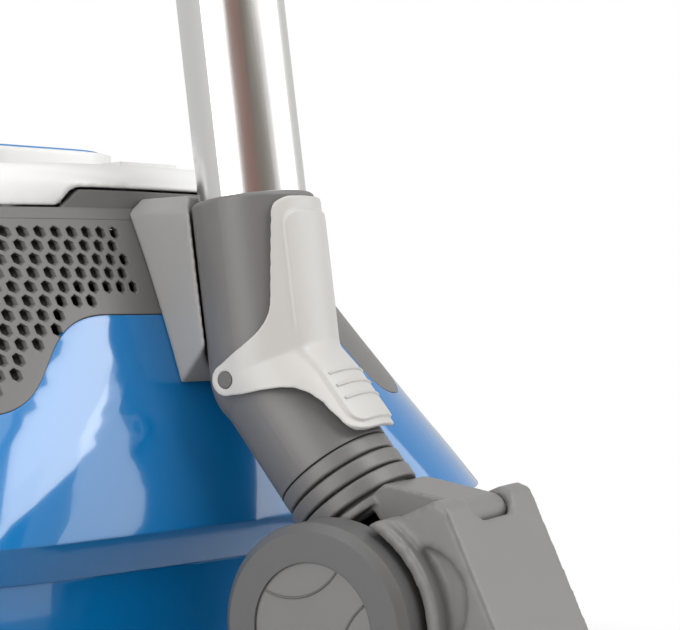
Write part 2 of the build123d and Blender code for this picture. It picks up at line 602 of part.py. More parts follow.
# Cord reel beside the motor: an empty drum on an axle held by a bracket, and the cord's outlet
REEL_AXLE_R = 5.0
REEL_FLANGE = 2.0
REEL_CORE = 24.0
BRACKET_THICK = 4.0
reel_x = MOTOR_R + 2 * BRACKET_THICK
reel_y = (motor_front + motor_rear) / 2
reel = rod(REEL_CORE, REEL_WIDTH) + rod(REEL_R, REEL_FLANGE)
reel = reel + rod(REEL_R, REEL_FLANGE, REEL_WIDTH - REEL_FLANGE) - rod(REEL_AXLE_R + RUN_GAP, REEL_WIDTH)
nodes["cord_reel"] = along_x(reel, reel_x, reel_y, MOTOR_Z)
stub = rod(REEL_AXLE_R, REEL_WIDTH + BRACKET_THICK + 2 * MOVE_GAP)
stub = stub + rod(2 * REEL_AXLE_R, BRACKET_THICK / 2, REEL_WIDTH + BRACKET_THICK + 2 * MOVE_GAP)
bracket = block((reel_x - BRACKET_THICK - MOVE_GAP, reel_x - MOVE_GAP),
                (reel_y - 3 * REEL_AXLE_R, reel_y + 3 * REEL_AXLE_R),
                (PAN_BOTTOM + PAN_WALL, MOTOR_Z + 3 * REEL_AXLE_R))
nodes["reel_bracket"] = bracket + along_x(stub, reel_x - BRACKET_THICK - MOVE_GAP, reel_y, MOTOR_Z)
gland_face = max(lower_plan(GLAND_Z + k * 1.4 * GLAND_R).bounding_box().max.X for k in (-1, 0, 1)) + SEAM
CORD_BORE_R = 4.2
gland = rod(GLAND_R, 2 * WALL) + rod(1.4 * GLAND_R, 1.2 * WALL, 2 * WALL) - rod(CORD_BORE_R, 4 * WALL)
nodes["cord_gland"] = along_x(gland, gland_face - 2 * WALL, GLAND_Y, GLAND_Z)

# Hose socket through the front of the upper shell
SOCKET_COLLAR = 4.0
collar_wall = body_plan(SOCKET_Z - SOCKET_R - SOCKET_COLLAR).bounding_box().min.Y
socket_front = collar_wall - 2 * SOCKET_COLLAR - MOVE_GAP
socket = rod(SOCKET_R, SOCKET_LENGTH) + rod(SOCKET_R + SOCKET_COLLAR, 2 * SOCKET_COLLAR)
nodes["hose_socket"] = along_y(socket - rod(SOCKET_BORE_R, SOCKET_LENGTH), 0, socket_front, SOCKET_Z)

# Rear wheels on a fixed axle
AXLE_HEAD = 3.0
CAP_R = 24.0
axle_length = 2 * (WHEEL_X + WHEEL_WIDTH + MOVE_GAP)
axle_bar = rod(AXLE_R, axle_length)
axle_bar = axle_bar + rod(2 * AXLE_R, AXLE_HEAD, -AXLE_HEAD) + rod(2 * AXLE_R, AXLE_HEAD, axle_length)
nodes["rear_axle"] = along_x(axle_bar, -axle_length / 2, AXLE_Y, WHEEL_R)
DISH = 4.0
tyre_form = rod(WHEEL_R, WHEEL_WIDTH)
tyre_form = fillet(tyre_form.edges().filter_by(GeomType.CIRCLE), TYRE_DEPTH / 2)
tyre = tyre_form - rod(WHEEL_R - TYRE_DEPTH, WHEEL_WIDTH)
hub = rod(WHEEL_R - TYRE_DEPTH, WHEEL_WIDTH) - rod(AXLE_R + RUN_GAP, WHEEL_WIDTH)
hub = hub - pipe(WHEEL_R - 2 * TYRE_DEPTH, CAP_R, DISH, WHEEL_WIDTH - DISH)
for side, name in ((1, "right"), (-1, "left")):
    for piece, form in (("tyre", tyre), ("hub", hub)):
        placed = along_x(form, WHEEL_X, AXLE_Y, WHEEL_R)
        nodes[f"wheel_{piece}_{name}"] = placed if side > 0 else mirrored(placed)

# Front caster: fork on a vertical stem, wheel on a cross pin
FORK_CROWN = 3.0
FORK_CHEEK = 3.0
CASTER_PIN_R = 2.5
CASTER_ROUND = 2.0
crown_top = PAN_BOTTOM - MOVE_GAP
caster_axle_y = CASTER_Y + CASTER_TRAIL
cheek_x = CASTER_WIDTH / 2 + MOVE_GAP
pin_half = cheek_x + FORK_CHEEK
crown_y = (CASTER_Y - STEM_R - FORK_CHEEK, caster_axle_y + STEM_R)
crown = block((-pin_half, pin_half), crown_y, (crown_top - FORK_CROWN, crown_top))
cheek = block((cheek_x, cheek_x + FORK_CHEEK), (caster_axle_y - STEM_R, caster_axle_y + STEM_R),
              (CASTER_R - STEM_R, crown_top))
pin_cut = along_x(rod(CASTER_PIN_R, 4 * CASTER_WIDTH), -2 * CASTER_WIDTH, caster_axle_y, CASTER_R)
stem = Pos(0, CASTER_Y, crown_top) * rod(STEM_R, BOSS_HEIGHT + MOVE_GAP + FORK_CROWN)
stem_cap = Pos(0, CASTER_Y, PAN_BOTTOM + BOSS_HEIGHT + MOVE_GAP / 2) * rod(STEM_R + 2, FORK_CROWN)
nodes["caster_fork"] = crown + cheek + mirrored(cheek) + stem + stem_cap - pin_cut
nodes["caster_pin"] = along_x(rod(CASTER_PIN_R, 2 * pin_half), -pin_half, caster_axle_y, CASTER_R)
caster_form = rod(CASTER_R, CASTER_WIDTH)
caster_form = fillet(caster_form.edges().filter_by(GeomType.CIRCLE), CASTER_ROUND)
caster_form = caster_form - rod(CASTER_PIN_R + RUN_GAP, CASTER_WIDTH)
nodes["caster_wheel"] = along_x(caster_form, -CASTER_WIDTH / 2, caster_axle_y, CASTER_R)

# Screws that hold the base pan from below
SCREW_R = 4.0
SCREW_HEAD = 1.8
SCREW_X = 84.0
screw_face = PAN_BOTTOM - SCREW_HEAD
screw = rod(SCREW_R, SCREW_HEAD, screw_face) - rod(SCREW_R / 2.5, SCREW_HEAD / 2, screw_face)
screw_rows = (pan_rear - PAN_CORNER, pan_rear - pan_length + PAN_CORNER)
nodes["pan_screws"] = Compound([Pos(x, y, 0) * screw for x in (-SCREW_X, SCREW_X) for y in screw_rows])

# Elbow: sleeve for the steel tube above the bend, lower section with a bearing for the swivel below
DUCT_R = 15.2
RIM_ROUND = 1.6
PIN_ROOT = 1.5          # wall left between a lever pin and the duct
SPIGOT_R = 16.8
SPIGOT_LENGTH = 11.0
upper_axis = Rot(X=TUBE_LEAN)
lower_axis = Rot(X=180 + LOWER_ANGLE)
sleeve = fillet(rod(SLEEVE_R, SLEEVE_RIM).edges().filter_by(GeomType.CIRCLE).sort_by(Axis.Z)[-1:], RIM_ROUND)
elbow = upper_axis * sleeve + lower_axis * rod(LOWER_R, LOWER_LENGTH) + Sphere(SLEEVE_R)
elbow = elbow - upper_axis * rod(TUBE_R, SLEEVE_RIM, SLEEVE_SEAT) - upper_axis * rod(DUCT_R, SLEEVE_SEAT)
elbow = elbow - lower_axis * rod(DUCT_R, LOWER_LENGTH) - Sphere(DUCT_R)
spigot_room = SPIGOT_LENGTH + MOVE_GAP
elbow = elbow - lower_axis * rod(SPIGOT_R + RUN_GAP, spigot_room, LOWER_LENGTH - spigot_room)
pin_reach = SLEEVE_R + LEVER_GAP + LEVER_WALL
pin_root = DUCT_R + PIN_ROOT
lever_pin = along_x(rod(PIN_R, pin_reach - pin_root), pin_root, PIN_Y, PIN_Z)
elbow = elbow - lever_pin - mirrored(lever_pin)
nodes["elbow"] = wand_place * elbow
nodes["lever_pins"] = wand_place * Compound([lever_pin, mirrored(lever_pin)])

# Release lever: a saddle over the rear of the elbow with arms to the pins and a finger tab
EYE_R = 5.0
TAB_FLANGE = 1.6        # thin border of the tab
TAB_RISE = 14.0         # length over which the lever lifts off the lower section
TAB_ROUND = 9.0         # rounded corners of the tab's end
PANEL_HALF = 12.2       # half width of the raised panel on the saddle
PANEL_TOP = 49.8
PANEL_ROUND = 4.5
TAB_PANEL_HALF = 11.6
TAB_PANEL_END = 34.5
LEVER_ROUND = 8.0       # rounded corners of the lever's top
LEVER_HALF_WIDTH = 15.8
BEND_ROOM = 0.4         # more air over the bend, where the lever swings in
EDGE_FRONT = 10.3       # saddle's edge behind the bend, where it sweeps forward to the eye
EDGE_TOP = 8.9          # the same edge at the lever's top
EDGE_LOW = 23.5         # height of the start of the sweep
EYE_SLOPE = 37.7        # slope of the arm where it meets the eye
edge_low = (EDGE_FRONT, EDGE_LOW)
edge_high = (2 * EDGE_TOP - EDGE_FRONT, 2 * LEVER_TOP - EDGE_LOW)
eye_touch = (PIN_Y - EYE_R * sin(radians(EYE_SLOPE)), PIN_Z + EYE_R * cos(radians(EYE_SLOPE)))
edge_tangent = (EDGE_FRONT - EDGE_TOP, EDGE_LOW - LEVER_TOP)
eye_tangent = (-cos(radians(EYE_SLOPE)), -sin(radians(EYE_SLOPE)))
arm_sweep = [edge_low, (9.3, 17.8), (7.0, 13.9), (2.8, 10.0), eye_touch]
arm_under = [eye_touch, (PIN_Y, PIN_Z), (PIN_Y - 0.5, PIN_Z - EYE_R), (3.1, -5.2), (10.1, -3.7), (16.1, -2.8),
             (20.3, -2.9), (24.4, -4.4), (27.4, -6.5), (30.6, -9.5), (33.6, -12.1), (45.0, -24.0),
             (60.0, -30.0), (60.0, 2 * LEVER_TOP - EDGE_LOW), edge_high]
arm_edges = [Line(edge_high, edge_low), Spline(*arm_sweep, tangents=(edge_tangent, eye_tangent))]
arm_face = Plane.YZ * make_face(arm_edges + list(Polyline(*arm_under).edges()))
lever_in = SLEEVE_R + LEVER_GAP
lever_out = lever_in + LEVER_WALL
tab_in = LOWER_R + TAB_STANDOFF
tab_out = tab_in + TAB_FLANGE


def lever_form(upper_r, bend_r, tab_r):
    """Everything within a radius of the tube axis, round the bend, and within a growing one below it."""
    foot = Pos(0, 0, TAB_RISE / 2) * Cone(upper_r, tab_r, TAB_RISE) + rod(tab_r, LEVER_TOP, TAB_RISE)
    return upper_axis * rod(upper_r, 2 * LEVER_TOP) + Sphere(bend_r) + lower_axis * foot


def rounded_end(half_width, length, corner):
    """A strip across X, straight along Z up to a rounded end."""
    face = Plane.XZ * RectangleRounded(2 * half_width, 2 * length, corner)
    return extrude(face, wide, both=True)


def below(height):
    return block((-wide, wide), (-wide, wide), (-wide, height))


border = lever_form(lever_out, lever_out, tab_out) & extrude(arm_face, 2 * SLEEVE_R, both=True)
lever_end = rounded_end(LEVER_HALF_WIDTH, LEVER_TOP, LEVER_ROUND) + below(LEVER_TOP - LEVER_ROUND)
border = border & upper_axis * lever_end
tab_end = rounded_end(TAB_HALF_WIDTH, TAB_LENGTH, TAB_ROUND) + below((TAB_LENGTH + TAB_ROUND) / 2)
border = border & lower_axis * tab_end
panel_out = lever_out + PANEL_RAISE
panel = lever_form(panel_out, panel_out, tab_out + PANEL_RAISE)
panel = panel & block((-wide, wide), (EDGE_FRONT, wide), (-wide, wide))
panel = panel & upper_axis * rounded_end(PANEL_HALF, PANEL_TOP, PANEL_ROUND)
panel = panel & lower_axis * (rounded_end(TAB_PANEL_HALF, TAB_PANEL_END, PANEL_ROUND) + below(TAB_RISE / 2))
eye = along_x(rod(EYE_R, pin_reach), 0, PIN_Y, PIN_Z)
lever = border + panel + eye + mirrored(eye) - lever_form(lever_in, lever_in + BEND_ROOM, tab_in)
lever = lever - along_x(rod(PIN_R + RUN_GAP, wide), -wide / 2, PIN_Y, PIN_Z)
nodes["release_lever"] = wand_place * lever.solids().sort_by(SortBy.VOLUME)[-1]
LEAF_HALF = 4.0
LEAF_THICK = 1.0
LEAF_FROM = 11.0
LEAF_TO = 19.0
leaf_y = (-LOWER_R - LEAF_THICK, 0)
leaf = block((-LEAF_HALF, LEAF_HALF), leaf_y, (LEAF_FROM, LEAF_TO)) - rod(LOWER_R, LOWER_LENGTH)
nodes["lever_spring"] = lower_place * leaf

# Steel tubes, telescopic collar with its push button, and the end ferrule
COLLAR_R = 22.5
COLLAR_LENGTH = 52.0
COLLAR_SEAT = 26.0
COLLAR_ROUND = 3.0
FERRULE_R = 19.5
FERRULE_ROUND = 1.5
FERRULE_GRIP = 30.0
FERRULE_SOCKET = 38.0
SOCKET_STOP = 2.0
FERRULE_BORE_R = 16.1
tube_top = SLEEVE_SEAT + TUBE_LENGTH
inner_r = TUBE_R - TUBE_WALL - SLIDE_GAP
collar_low = tube_top - COLLAR_SEAT
collar_top = collar_low + COLLAR_LENGTH
inner_top = collar_top + INNER_SHOWING
inner_low = inner_top - TELESCOPE_TRAVEL - COLLAR_LENGTH - INNER_SHOWING - INNER_OVERLAP
nodes["wand_tube"] = upper_place * pipe(TUBE_R, TUBE_R - TUBE_WALL, TUBE_LENGTH, SLEEVE_SEAT)
nodes["inner_tube"] = upper_place * pipe(inner_r, inner_r - INNER_WALL, inner_top - inner_low, inner_low)
collar = rod(COLLAR_R, COLLAR_LENGTH, collar_low)
collar = fillet(collar.edges().filter_by(GeomType.CIRCLE), COLLAR_ROUND)
collar = collar - rod(TUBE_R, COLLAR_SEAT, collar_low) - rod(inner_r + SLIDE_GAP, COLLAR_LENGTH, tube_top)
CATCH_HALF = 7.0
CATCH_LENGTH = 20.0
CATCH_THICK = 3.4
CATCH_TRAVEL = 2.0
catch_mid = (collar_low + collar_top) / 2


def catch_block(grow, low, high):
    return block((-CATCH_HALF - grow, CATCH_HALF + grow), (low, high),
                 (catch_mid - CATCH_LENGTH / 2 - grow, catch_mid + CATCH_LENGTH / 2 + grow))


catch_floor = TUBE_R + MOVE_GAP
nodes["tube_collar"] = upper_place * (collar - catch_block(SLIDE_GAP, catch_floor, wide))
catch_rest = catch_floor + CATCH_TRAVEL + MOVE_GAP / 2
nodes["collar_button"] = upper_place * catch_block(0.0, catch_rest, catch_rest + CATCH_THICK)
ferrule_low = inner_top - FERRULE_GRIP
ferrule = rod(FERRULE_R, FERRULE_GRIP + SOCKET_STOP + FERRULE_SOCKET, ferrule_low)
ferrule = fillet(ferrule.edges().filter_by(GeomType.CIRCLE), FERRULE_ROUND)
ferrule = ferrule - rod(inner_r, FERRULE_GRIP, ferrule_low) - rod(inner_r - INNER_WALL, wide, ferrule_low)
nodes["end_ferrule"] = upper_place * (ferrule - rod(FERRULE_BORE_R, FERRULE_SOCKET, inner_top + SOCKET_STOP))

# Swivel rings: a spool that turns in the elbow's lower end
RING_FLARE = 0.35
RING_ROUND = 0.8
RING_STEP = 1.0         # the rings' bore is a little smaller than the elbow's
ring_pitch = RING_LENGTH + RING_GROOVE
spool_low = LOWER_LENGTH + MOVE_GAP / 2
spool_top = spool_low + RING_COUNT * ring_pitch
spool = rod(SPIGOT_R, SPIGOT_LENGTH + spool_top - spool_low, spool_low - SPIGOT_LENGTH)
for k in range(RING_COUNT):
    ring = rod(LOWER_R + RING_FLARE * k, RING_LENGTH, spool_low + k * ring_pitch)
    spool = spool + fillet(ring.edges().filter_by(GeomType.CIRCLE), RING_ROUND)
spool = spool - rod(DUCT_R - RING_STEP, wide, -wide / 2)
nodes["swivel_rings"] = lower_place * spool

# Neck: a flat-sided duct from the rings to the head's pivot, with a window in each cheek
tilt = radians(HEAD_TILT)
pivot_local = (HEAD_Y + PIVOT_FORWARD * sin(tilt) + PIVOT_RISE * cos(tilt),
               -HEAD_DROP - PIVOT_FORWARD * cos(tilt) + PIVOT_RISE * sin(tilt))
slope = radians(LOWER_ANGLE)
pivot_along = pivot_local[0] * sin(slope) - pivot_local[1] * cos(slope)
pivot_off = pivot_local[0] * cos(slope) + pivot_local[1] * sin(slope)
NECK_DEPTH = 18.0
NECK_FRONT = 16.0
NECK_SHOULDER = 4.0     # the neck widens by this much behind the rings
NECK_LENGTH = 17.0
NECK_FLANGE = 3.0
NECK_BORE_R = 11.2
NECK_BORE_DEPTH = 14.0
BARREL_FLANK = 0.7      # where the neck's sides meet the barrel
WINDOW_RISE = 4.0
# In the lower frame the neck's rear side is -Y
flank = BARREL_FLANK * BARREL_R
neck_outline = [(NECK_FRONT, spool_top), (-NECK_DEPTH, spool_top),
                (-NECK_DEPTH - NECK_SHOULDER, spool_top + WINDOW_RISE),
                (-pivot_off - flank, pivot_along - flank), (-pivot_off + flank, pivot_along + flank),
                (WINDOW_RISE - NECK_DEPTH, spool_top + NECK_LENGTH), (NECK_FRONT, spool_top + NECK_LENGTH)]
neck = side_plate(neck_outline, -NECK_HALF_WIDTH, NECK_HALF_WIDTH)
neck = neck + along_x(rod(BARREL_R, 2 * NECK_HALF_WIDTH), -NECK_HALF_WIDTH, -pivot_off, pivot_along)
neck = neck + rod(LOWER_R - RING_STEP, NECK_FLANGE, spool_top)
window_z = (spool_top + WINDOW_RISE, spool_top + WINDOW_RISE + NECK_WINDOW)
window = block((-wide, wide), (-NECK_WINDOW, NECK_WINDOW / 2), window_z)
neck = neck - window - rod(NECK_BORE_R, NECK_BORE_DEPTH, spool_top)
neck = neck - along_x(rod(PIVOT_R + RUN_GAP, wide), -wide / 2, -pivot_off, pivot_along)
nodes["neck"] = lower_place * neck

# Floor head, drawn as it stands in use: X across, Y forward, Z up, origin on the wheel axis
EAR_HALF = NECK_HALF_WIDTH + 1.0
CHEEK = 3.5
CHEEK_GAP = 1.0         # air between a cheek and its wheel
SCOOP_U = 2.9
SCOOP_V = 29.0
well_r = HEAD_WHEEL_R + FENDER_GAP
SOLE_TOP = -HEAD_WHEEL_R + SOLE_THICK + 1.0
hood_outline = [
    (HOOD_FRONT, 26.0), (HOOD_FRONT, HOOD_TOP - 3.0), (HOOD_FRONT + 3.0, HOOD_TOP), (34.0, HOOD_TOP),
    (62.0, 34.0), (84.0, 14.0), (96.0, 2.0), (96.0, -12.0), (0.0, -12.0), (HOOD_FRONT, 0.0)]
hood = side_plate(hood_outline, -HOOD_HALF_WIDTH, HOOD_HALF_WIDTH)
hood = hood - along_x(rod(well_r, wide), -wide / 2, 0, 0)
valley_end = PIVOT_FORWARD + BARREL_R + MOVE_GAP
valley = block((-EAR_HALF, EAR_HALF), (-wide, valley_end), (-wide, HOOD_TOP - HOOD_PLATE))
notch_length = 2 * (NOTCH_END - HOOD_FRONT)
notch = Pos(0, HOOD_FRONT, 0) * extrude(RectangleRounded(2 * EAR_HALF, notch_length, NOTCH_ROUND), wide)
hood = hood - valley - notch
scoop = along_x(rod(SCOOP_R, wide), HOOD_HALF_WIDTH - SCOOP_DEPTH, SCOOP_U, SCOOP_V)
hood = hood - scoop - mirrored(scoop)
nozzle_rear = well_r + 3.0
nozzle_outline = [
    (nozzle_rear, SOLE_TOP), (nozzle_rear, NOZZLE_TOP - 4.0), (nozzle_rear + 12.0, NOZZLE_TOP),
    (HEAD_FRONT - 20.0, NOZZLE_TOP - 3.0), (HEAD_FRONT, -12.0), (HEAD_FRONT, SOLE_TOP)]
nozzle = side_plate(nozzle_outline, -HEAD_WIDTH / 2, HEAD_WIDTH / 2)
CHAMBER_WALL = 4.0
chamber = block((CHAMBER_WALL - HEAD_WIDTH / 2, HEAD_WIDTH / 2 - CHAMBER_WALL),
                (nozzle_rear + CHAMBER_WALL, HEAD_FRONT - CHAMBER_WALL), (SOLE_TOP, -12.0))
inlet = block((-EAR_HALF, EAR_HALF), (0, nozzle_rear + 2 * CHAMBER_WALL), (-22.0, 4.0))
head_cheek_x = (HEAD_WHEEL_INNER - CHEEK_GAP - CHEEK, HEAD_WHEEL_INNER - CHEEK_GAP)
fender = pipe(well_r + FENDER_WALL, well_r, FENDER_REACH - head_cheek_x[0])
fender = along_x(fender, head_cheek_x[0], 0, 0) & block((0, wide), (-22.0, wide), (-2.0, wide))
cheek_outline = [(-19.0, 28.0), (-7.0, -7.0), (7.0, -7.0), (nozzle_rear + 2.0, -12.0),
                 (nozzle_rear + 2.0, 20.0), (0.0, 36.0)]
cheek = side_plate(cheek_outline, *head_cheek_x)
hood = hood + nozzle + fender + mirrored(fender) + cheek + mirrored(cheek) - chamber - inlet
hood = hood - along_x(rod(HEAD_AXLE_R, wide), -wide / 2, 0, 0)
pivot_pin_half = head_cheek_x[1]
pivot_pin = along_x(rod(PIVOT_R, 2 * pivot_pin_half), -pivot_pin_half, PIVOT_FORWARD, PIVOT_RISE)
nodes["head_hood"] = head_place * (hood - pivot_pin)

# Sole plate with its suction slot, and two lint strips beside the slot
SOLE_INSET = 2.0
SLOT_MID = (nozzle_rear + HEAD_FRONT) / 2
SLOT_END = 16.0
STRIP = 3.0
STRIP_PILE = 0.8
sole_face = SOLE_TOP - SOLE_THICK
sole_x = (SOLE_INSET - HEAD_WIDTH / 2, HEAD_WIDTH / 2 - SOLE_INSET)
sole = block(sole_x, (nozzle_rear + SOLE_INSET, HEAD_FRONT - SOLE_INSET), (SOLE_TOP - SOLE_THICK, SOLE_TOP))
slot_x = (sole_x[0] + SLOT_END, sole_x[1] - SLOT_END)
slot = block(slot_x, (SLOT_MID - SLOT_WIDTH / 2, SLOT_MID + SLOT_WIDTH / 2), (-wide, wide))
nodes["sole_plate"] = head_place * (sole - slot)
strips = []
for side in (-1, 1):
    middle = SLOT_MID + side * (SLOT_WIDTH / 2 + 2 * STRIP)
    strips.append(block(slot_x, (middle - STRIP, middle + STRIP), (sole_face - STRIP_PILE, sole_face)))
nodes["lint_strips"] = head_place * Compound(strips)

# Head wheels: rubber tyre with a bevelled face on a hub that caps the axle
BEVEL = 2.4
head_tyre = rod(HEAD_WHEEL_R, HEAD_WHEEL_WIDTH)
head_tyre = chamfer(head_tyre.edges().filter_by(GeomType.CIRCLE), BEVEL) - rod(HEAD_HUB_R, HEAD_WHEEL_WIDTH)
HUB_SINK = 0.8
HUB_FACE = 3.0
head_hub = rod(HEAD_HUB_R, HEAD_WHEEL_WIDTH - 2 * HUB_SINK, HUB_SINK)
head_hub = head_hub - rod(HEAD_AXLE_R + RUN_GAP, HEAD_WHEEL_WIDTH - HUB_SINK - HUB_FACE)
for side, name in ((1, "right"), (-1, "left")):
    for piece, form in (("tyre", head_tyre), ("hub", head_hub)):
        placed = along_x(form, HEAD_WHEEL_INNER, 0, 0)
        nodes[f"head_{piece}_{name}"] = head_place * (placed if side > 0 else mirrored(placed))
axle_reach = HEAD_WHEEL_INNER + HEAD_WHEEL_WIDTH - HUB_SINK - HUB_FACE - MOVE_GAP
wheel_axle = along_x(rod(HEAD_AXLE_R, 2 * axle_reach), -axle_reach, 0, 0)
nodes["head_pins"] = head_place * Compound([wheel_axle, pivot_pin])


# Everything moves to the middle of its footprint, and one file is written per node
def write_parts():
    os.makedirs("parts", exist_ok=True)
    for name, shape in placed_nodes.items():
        export_step(shape, f"parts/{name}.step")


whole = Compound([solid for node in nodes.values() for solid in node.solids()]).bounding_box()
shift = Pos(-(whole.min.X + whole.max.X) / 2, -(whole.min.Y + whole.max.Y) / 2, -whole.min.Z)
placed_nodes = {name: shift * shape for name, shape in nodes.items()}

if __name__ == "__main__":
    write_parts()
    print(len(placed_nodes), "nodes, size", [round(v, 1) for v in whole.size])
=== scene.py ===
# %% [markdown]
# # A parked canister vacuum cleaner
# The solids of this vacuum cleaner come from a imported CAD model. This script dresses them: it sets the
# camera and a small studio, gives every moulding its finish, and adds the pieces that the solids leave out.
# Everything is in metres, with +Z up, the canister's front towards -Y and the parked wand towards +Y.

# %% Load the frame
import json
from math import cos, pi, radians, sin
import bpy
import bmesh
from mathutils import Matrix, Vector

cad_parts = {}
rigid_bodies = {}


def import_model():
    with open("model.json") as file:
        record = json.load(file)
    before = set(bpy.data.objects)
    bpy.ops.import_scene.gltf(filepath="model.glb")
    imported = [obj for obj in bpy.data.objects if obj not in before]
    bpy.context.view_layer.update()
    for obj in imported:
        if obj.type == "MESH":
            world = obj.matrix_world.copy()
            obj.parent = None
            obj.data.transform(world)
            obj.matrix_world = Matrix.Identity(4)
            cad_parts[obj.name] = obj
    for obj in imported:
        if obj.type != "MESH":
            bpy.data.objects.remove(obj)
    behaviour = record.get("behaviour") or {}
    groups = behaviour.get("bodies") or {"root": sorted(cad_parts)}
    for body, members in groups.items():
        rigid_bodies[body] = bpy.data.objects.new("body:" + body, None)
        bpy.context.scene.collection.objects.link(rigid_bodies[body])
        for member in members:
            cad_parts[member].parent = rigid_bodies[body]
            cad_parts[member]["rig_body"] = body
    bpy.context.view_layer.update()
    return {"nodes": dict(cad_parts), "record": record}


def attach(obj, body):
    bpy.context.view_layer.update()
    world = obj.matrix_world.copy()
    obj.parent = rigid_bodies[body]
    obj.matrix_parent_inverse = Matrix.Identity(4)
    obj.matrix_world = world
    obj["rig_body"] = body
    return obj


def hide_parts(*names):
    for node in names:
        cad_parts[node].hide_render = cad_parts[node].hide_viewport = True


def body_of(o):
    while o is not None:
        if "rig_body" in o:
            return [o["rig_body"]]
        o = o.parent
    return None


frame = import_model()
nodes = frame["nodes"]

# %% [markdown]
# ## The camera
# The picture is a close-up of the rear. The lens and the standpoint were fitted to the outlines of the steel
# tube, which is taken as 35 mm across, the elbow and the wheel of the floor head. The result is a short
# telephoto lens half a metre away, a little above the elbow. A camera object and a track direction are all
# that it takes.

# %% Camera
joint_of = {joint["name"]: joint for joint in frame["record"]["behaviour"]["joints"]}
bend = Vector(joint_of["head_swivel"]["pos_m"])
VIEW_FROM = bend + Vector((0.3391, 0.3953, 0.0253))
VIEW_ALONG = Vector((-0.682, -0.731, -0.012))
LENS = 85.78
camera_data = bpy.data.cameras.new("rear_view")
camera_data.lens = LENS
camera_data.sensor_width = 36.0
camera_data.sensor_fit = "HORIZONTAL"
camera_data.clip_start = 0.01
camera = bpy.data.objects.new("rear_view", camera_data)
camera.location = VIEW_FROM
camera.rotation_euler = VIEW_ALONG.to_track_quat("-Z", "Y").to_euler()
bpy.context.scene.collection.objects.link(camera)
bpy.context.scene.camera = camera
bpy.context.scene.view_settings.view_transform = "Standard"
print("camera at", tuple(VIEW_FROM))

# %% [markdown]
# ## The studio
# A polished tube shows whatever stands around it, so the room matters as much as the finish. The tube
# mirrors a soft white lamp on each side and the dark space behind the camera between them. Area lamps stand
# for the soft boxes, two dark cards that the camera itself doesn't see stand for the unlit room, and the
# world is plain white where it is seen.

# %% Floor and dark cards
FLOOR_REACH = 6.0
FLOOR_NEAR = 0.55
FLOOR_FAR = 0.75
FLOOR_GREY = (0.8, 0.8, 0.8)
STAGE_ROUGHNESS = 0.9
CARD_FROM, CARD_SPLIT, CARD_TO = -14.0, 18.0, 56.0
CARD_AWAY, CARD_FOOT, CARD_TOP = 1.7, 0.01, 1.9
WARM_DARK, GREY_DARK = (0.2, 0.105, 0.08), (0.125, 0.11, 0.09)


def flat_finish(name, color, roughness):
    finish = bpy.data.materials.new(name)
    finish.use_nodes = True
    shader = finish.node_tree.nodes["Principled BSDF"]
    shader.inputs["Base Color"].default_value = (*color, 1.0)
    shader.inputs["Roughness"].default_value = roughness
    return finish


def stage_sheet(name, corners, color):
    mesh = bpy.data.meshes.new(name)
    mesh.from_pydata(corners, [], [tuple(range(len(corners)))])
    sheet = bpy.data.objects.new(name, mesh)
    mesh.materials.append(flat_finish(name, color, STAGE_ROUGHNESS))
    bpy.context.scene.collection.objects.link(sheet)
    return sheet


def seen_directly(tree, mirrored=0.0):
    """One for rays straight from the camera or through glass, a share for mirrored ones, else nought."""
    path = tree.nodes.new("ShaderNodeLightPath")
    seen = tree.nodes.new("ShaderNodeMath")
    seen.operation = "MULTIPLY_ADD"
    seen.inputs[1].default_value = mirrored
    tree.links.new(path.outputs["Is Glossy Ray"], seen.inputs[0])
    tree.links.new(path.outputs["Is Camera Ray"], seen.inputs[2])
    through = tree.nodes.new("ShaderNodeMath")
    through.operation = "ADD"
    through.use_clamp = True
    tree.links.new(seen.outputs[0], through.inputs[0])
    tree.links.new(path.outputs["Is Transmission Ray"], through.inputs[1])
    return through.outputs[0]


def fade_to_white(finish):
    """Far from the object the floor is plain white to the eye, near it it takes a shadow."""
    tree = finish.node_tree
    shader = tree.nodes["Principled BSDF"]
    where = tree.nodes.new("ShaderNodeTexCoord")
    away = tree.nodes.new("ShaderNodeVectorMath")
    away.operation = "LENGTH"
    tree.links.new(where.outputs["Object"], away.inputs[0])
    share = tree.nodes.new("ShaderNodeMapRange")
    share.interpolation_type = "SMOOTHSTEP"
    share.inputs["From Min"].default_value = FLOOR_NEAR
    share.inputs["From Max"].default_value = FLOOR_FAR
    tree.links.new(away.outputs["Value"], share.inputs["Value"])
    both = tree.nodes.new("ShaderNodeMath")
    both.operation = "MULTIPLY"
    tree.links.new(share.outputs["Result"], both.inputs[0])
    tree.links.new(seen_directly(tree), both.inputs[1])
    glow = tree.nodes.new("ShaderNodeEmission")
    mix = tree.nodes.new("ShaderNodeMixShader")
    tree.links.new(both.outputs[0], mix.inputs["Fac"])
    tree.links.new(shader.outputs["BSDF"], mix.inputs[1])
    tree.links.new(glow.outputs["Emission"], mix.inputs[2])
    tree.links.new(mix.outputs["Shader"], tree.nodes["Material Output"].inputs["Surface"])


floor_corners = [(x * FLOOR_REACH, y * FLOOR_REACH, 0) for x, y in ((-1, -1), (1, -1), (1, 1), (-1, 1))]
floor = stage_sheet("pale_floor", floor_corners, FLOOR_GREY)
fade_to_white(floor.data.materials[0])
back = Vector((-VIEW_ALONG.x, -VIEW_ALONG.y, 0)).normalized()
right = Vector((VIEW_ALONG.y, -VIEW_ALONG.x, 0)).normalized()


def around(angle, distance, height):
    """A place at an angle from the camera's side of the elbow, positive to the right of the picture."""
    turn = radians(angle)
    return bend + distance * (back * cos(turn) + right * sin(turn)) + Vector((0, 0, height - bend.z))


